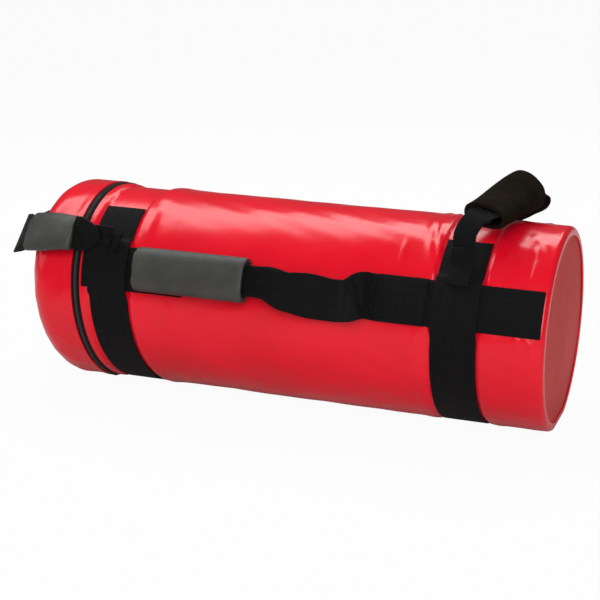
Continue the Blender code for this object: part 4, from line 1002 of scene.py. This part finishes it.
def makeSideLoop():
    settings = sideLoop
    left, right, steps = settings["left"], settings["right"], settings["steps"]
    share = np.arange(steps + 1) / steps
    length = right - left
    x = left + length * share
    sewn = 3.0 * bag["gap"] + 2.0 * bag["webThick"]
    lift = np.maximum(settings["lift"] * tableValue(settings["rise"], share), sewn - bag["webThick"] / 2.0)
    points = skinPoint(x, bag["sideAngle"] + tableValue(settings["sag"], share), bagRadius(x) + lift)
    turn = math.radians(bag["sideAngle"])
    down = np.array([0.0, -math.cos(turn), -math.sin(turn)])
    frames = pathFrames(points, np.tile(down, (len(x), 1)))
    sleeveEnd = (settings["sleeveStart"] + settings["sleeveLength"] - left) / length
    width = easeTo(settings["gathered"], bag["webWidth"], share, sleeveEnd, sleeveEnd + settings["widenOver"])
    bent = softStep(share, *settings["bendIn"]) * (1.0 - softStep(share, *settings["bendOut"]))
    width = width - settings["bendBy"] * bent
    thick = np.full(len(x), bag["webThick"])
    fading = 1.0 - softStep(share, sleeveEnd, sleeveEnd + settings["pleatOver"])
    pleat = settings["pleat"] * fading * softStep(share, *settings["pleatFrom"])
    cut = (settings["split"] - left) / length
    leftBlend = [left + offset for offset in settings["leftBlend"]]
    rightBlend = [right - settings["rightStill"], settings["rightLifted"]]
    for name, start, stop, nodes, places in (("sideLoopLeft", 0.0, cut, [], leftBlend),
                                             ("sideLoopRight", cut, 1.0, ["side_handle"], rightBlend)):
        widths, thicks, pleats = stretch((width, thick, pleat), start, stop)
        piece = bandPiece(name, stretch(frames, start, stop), widths, thicks, length * (stop - start), pleats)
        blendFrom, blendTo = [(place, 0.0, settings["blendHeight"]) for place in places]
        finish(piece, blackWebbing, None, nodes,
               blend=("bag", "side_webbing", blendFrom, blendTo))
    rings = settings["sleeveRings"]
    tubeX = settings["sleeveStart"] + settings["sleeveLength"] * np.linspace(0.0, 1.0, rings)
    radius = np.full(rings, float(bagRadius(0.0)) + settings["lift"])
    tube = skinPoint(tubeX, np.full(rings, bag["sideAngle"]), radius)
    grip = sleevePiece("sideGrip", pathFrames(tube, np.tile(down, (rings, 1))), **settings["foam"])
    finish(grip, greyFoam, "side_sleeve", ["side_grip"])


makeSideLoop()
print("side handle ready")

for node in ("zip_stop", "zip_slider", "zip_pull"):
    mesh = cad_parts[node].data
    mesh.materials.clear()
    mesh.materials.append(castMetal)


stage = {
    "floorHalf": 16.0, "floorHeight": -0.0006, "floorColor": (0.62, 0.60, 0.60, 1.0), "whiteShare": 0.95,
    "world": 0.30, "glossDim": 0.20,  # the world's light, and how much less of it gloss shows
    "white": (1.0, 1.0, 1.0, 1.0),
}


def mixShaders(nodes, links, share, first, second, outputKind):
    mixed = nodes.new("ShaderNodeMixShader")
    for i, socket in enumerate((share, first.outputs[0], second.outputs[0])):
        links.new(socket, mixed.inputs[i])
    links.new(mixed.outputs[0], nodes.new(outputKind).inputs["Surface"])


bpy.ops.object.select_all(action="DESELECT")
bpy.ops.mesh.primitive_plane_add(size=2.0 * stage["floorHalf"], location=(0.0, 0.0, stage["floorHeight"]))
floor = bpy.context.object
floor.name = "floor"
floorMaterial = bpy.data.materials.new("floorMaterial")
floorMaterial.use_nodes = True
nodes, links = floorMaterial.node_tree.nodes, floorMaterial.node_tree.links
nodes.clear()
diffuse = addNode(nodes, links, "ShaderNodeBsdfDiffuse", {"Color": stage["floorColor"]})
glow = addNode(nodes, links, "ShaderNodeEmission", {"Color": stage["white"], "Strength": 1.0})
rays = nodes.new("ShaderNodeLightPath")
share = mathNode(nodes, links, "MULTIPLY", rays.outputs["Is Camera Ray"], stage["whiteShare"])
mixShaders(nodes, links, share, diffuse, glow, "ShaderNodeOutputMaterial")
floor.data.materials.append(floorMaterial)

world = bpy.data.worlds.new("studio")
bpy.context.scene.world = world
world.use_nodes = True
nodes, links = world.node_tree.nodes, world.node_tree.links
nodes.clear()
rays = nodes.new("ShaderNodeLightPath")
soft = mathNode(nodes, links, "MULTIPLY", rays.outputs["Is Glossy Ray"], -stage["glossDim"])
strength = mathNode(nodes, links, "ADD", soft, stage["world"])
dim = addNode(nodes, links, "ShaderNodeBackground", {"Color": stage["white"]}, {"Strength": strength})
white = addNode(nodes, links, "ShaderNodeBackground", {"Color": stage["white"], "Strength": 1.0})
mixShaders(nodes, links, rays.outputs["Is Camera Ray"], dim, white, "ShaderNodeOutputWorld")

lamps = [
    # name, place, aim, width, height, power, color
    ("window", (-0.75, 0.80, 2.00), (0.0, 0.0, 0.15), 3.6, 0.85, 50.0, (1.0, 0.99, 0.99)),
    ("front", (0.9, -2.2, 1.3), (0.0, 0.0, 0.1), 2.2, 1.6, 56.0, (1.0, 0.98, 0.97)),
    ("leftFill", (-2.2, -0.8, 0.9), (-0.1, 0.0, 0.1), 1.4, 1.2, 5.0, (1.0, 1.0, 1.0)),
]
for name, place, aim, wide, tall, power, color in lamps:
    lamp = bpy.data.lights.new(name, "AREA")
    lamp.shape = "RECTANGLE"
    lamp.size, lamp.size_y, lamp.energy, lamp.color = wide, tall, power, color
    obj = bpy.data.objects.new(name, lamp)
    bpy.context.scene.collection.objects.link(obj)
    obj.location = place
    obj.rotation_euler = (Vector(aim) - Vector(place)).to_track_quat("-Z", "Y").to_euler()

view = {"place": (0.52463, -1.36458, 0.54689), "direction": (-0.36062, 0.88801, -0.28530), "lens": 78.0,
        "sensor": 36.0, "nearest": 0.01}
camera = bpy.data.objects.new("camera", bpy.data.cameras.new("camera"))
bpy.context.scene.collection.objects.link(camera)
camera.location = view["place"]
camera.rotation_euler = Vector(view["direction"]).to_track_quat("-Z", "Y").to_euler()
camera.data.sensor_width = view["sensor"]
camera.data.lens = view["lens"]
camera.data.clip_start = view["nearest"]
bpy.context.scene.camera = camera
bpy.context.scene.view_settings.view_transform = "Standard"
print("stage ready")
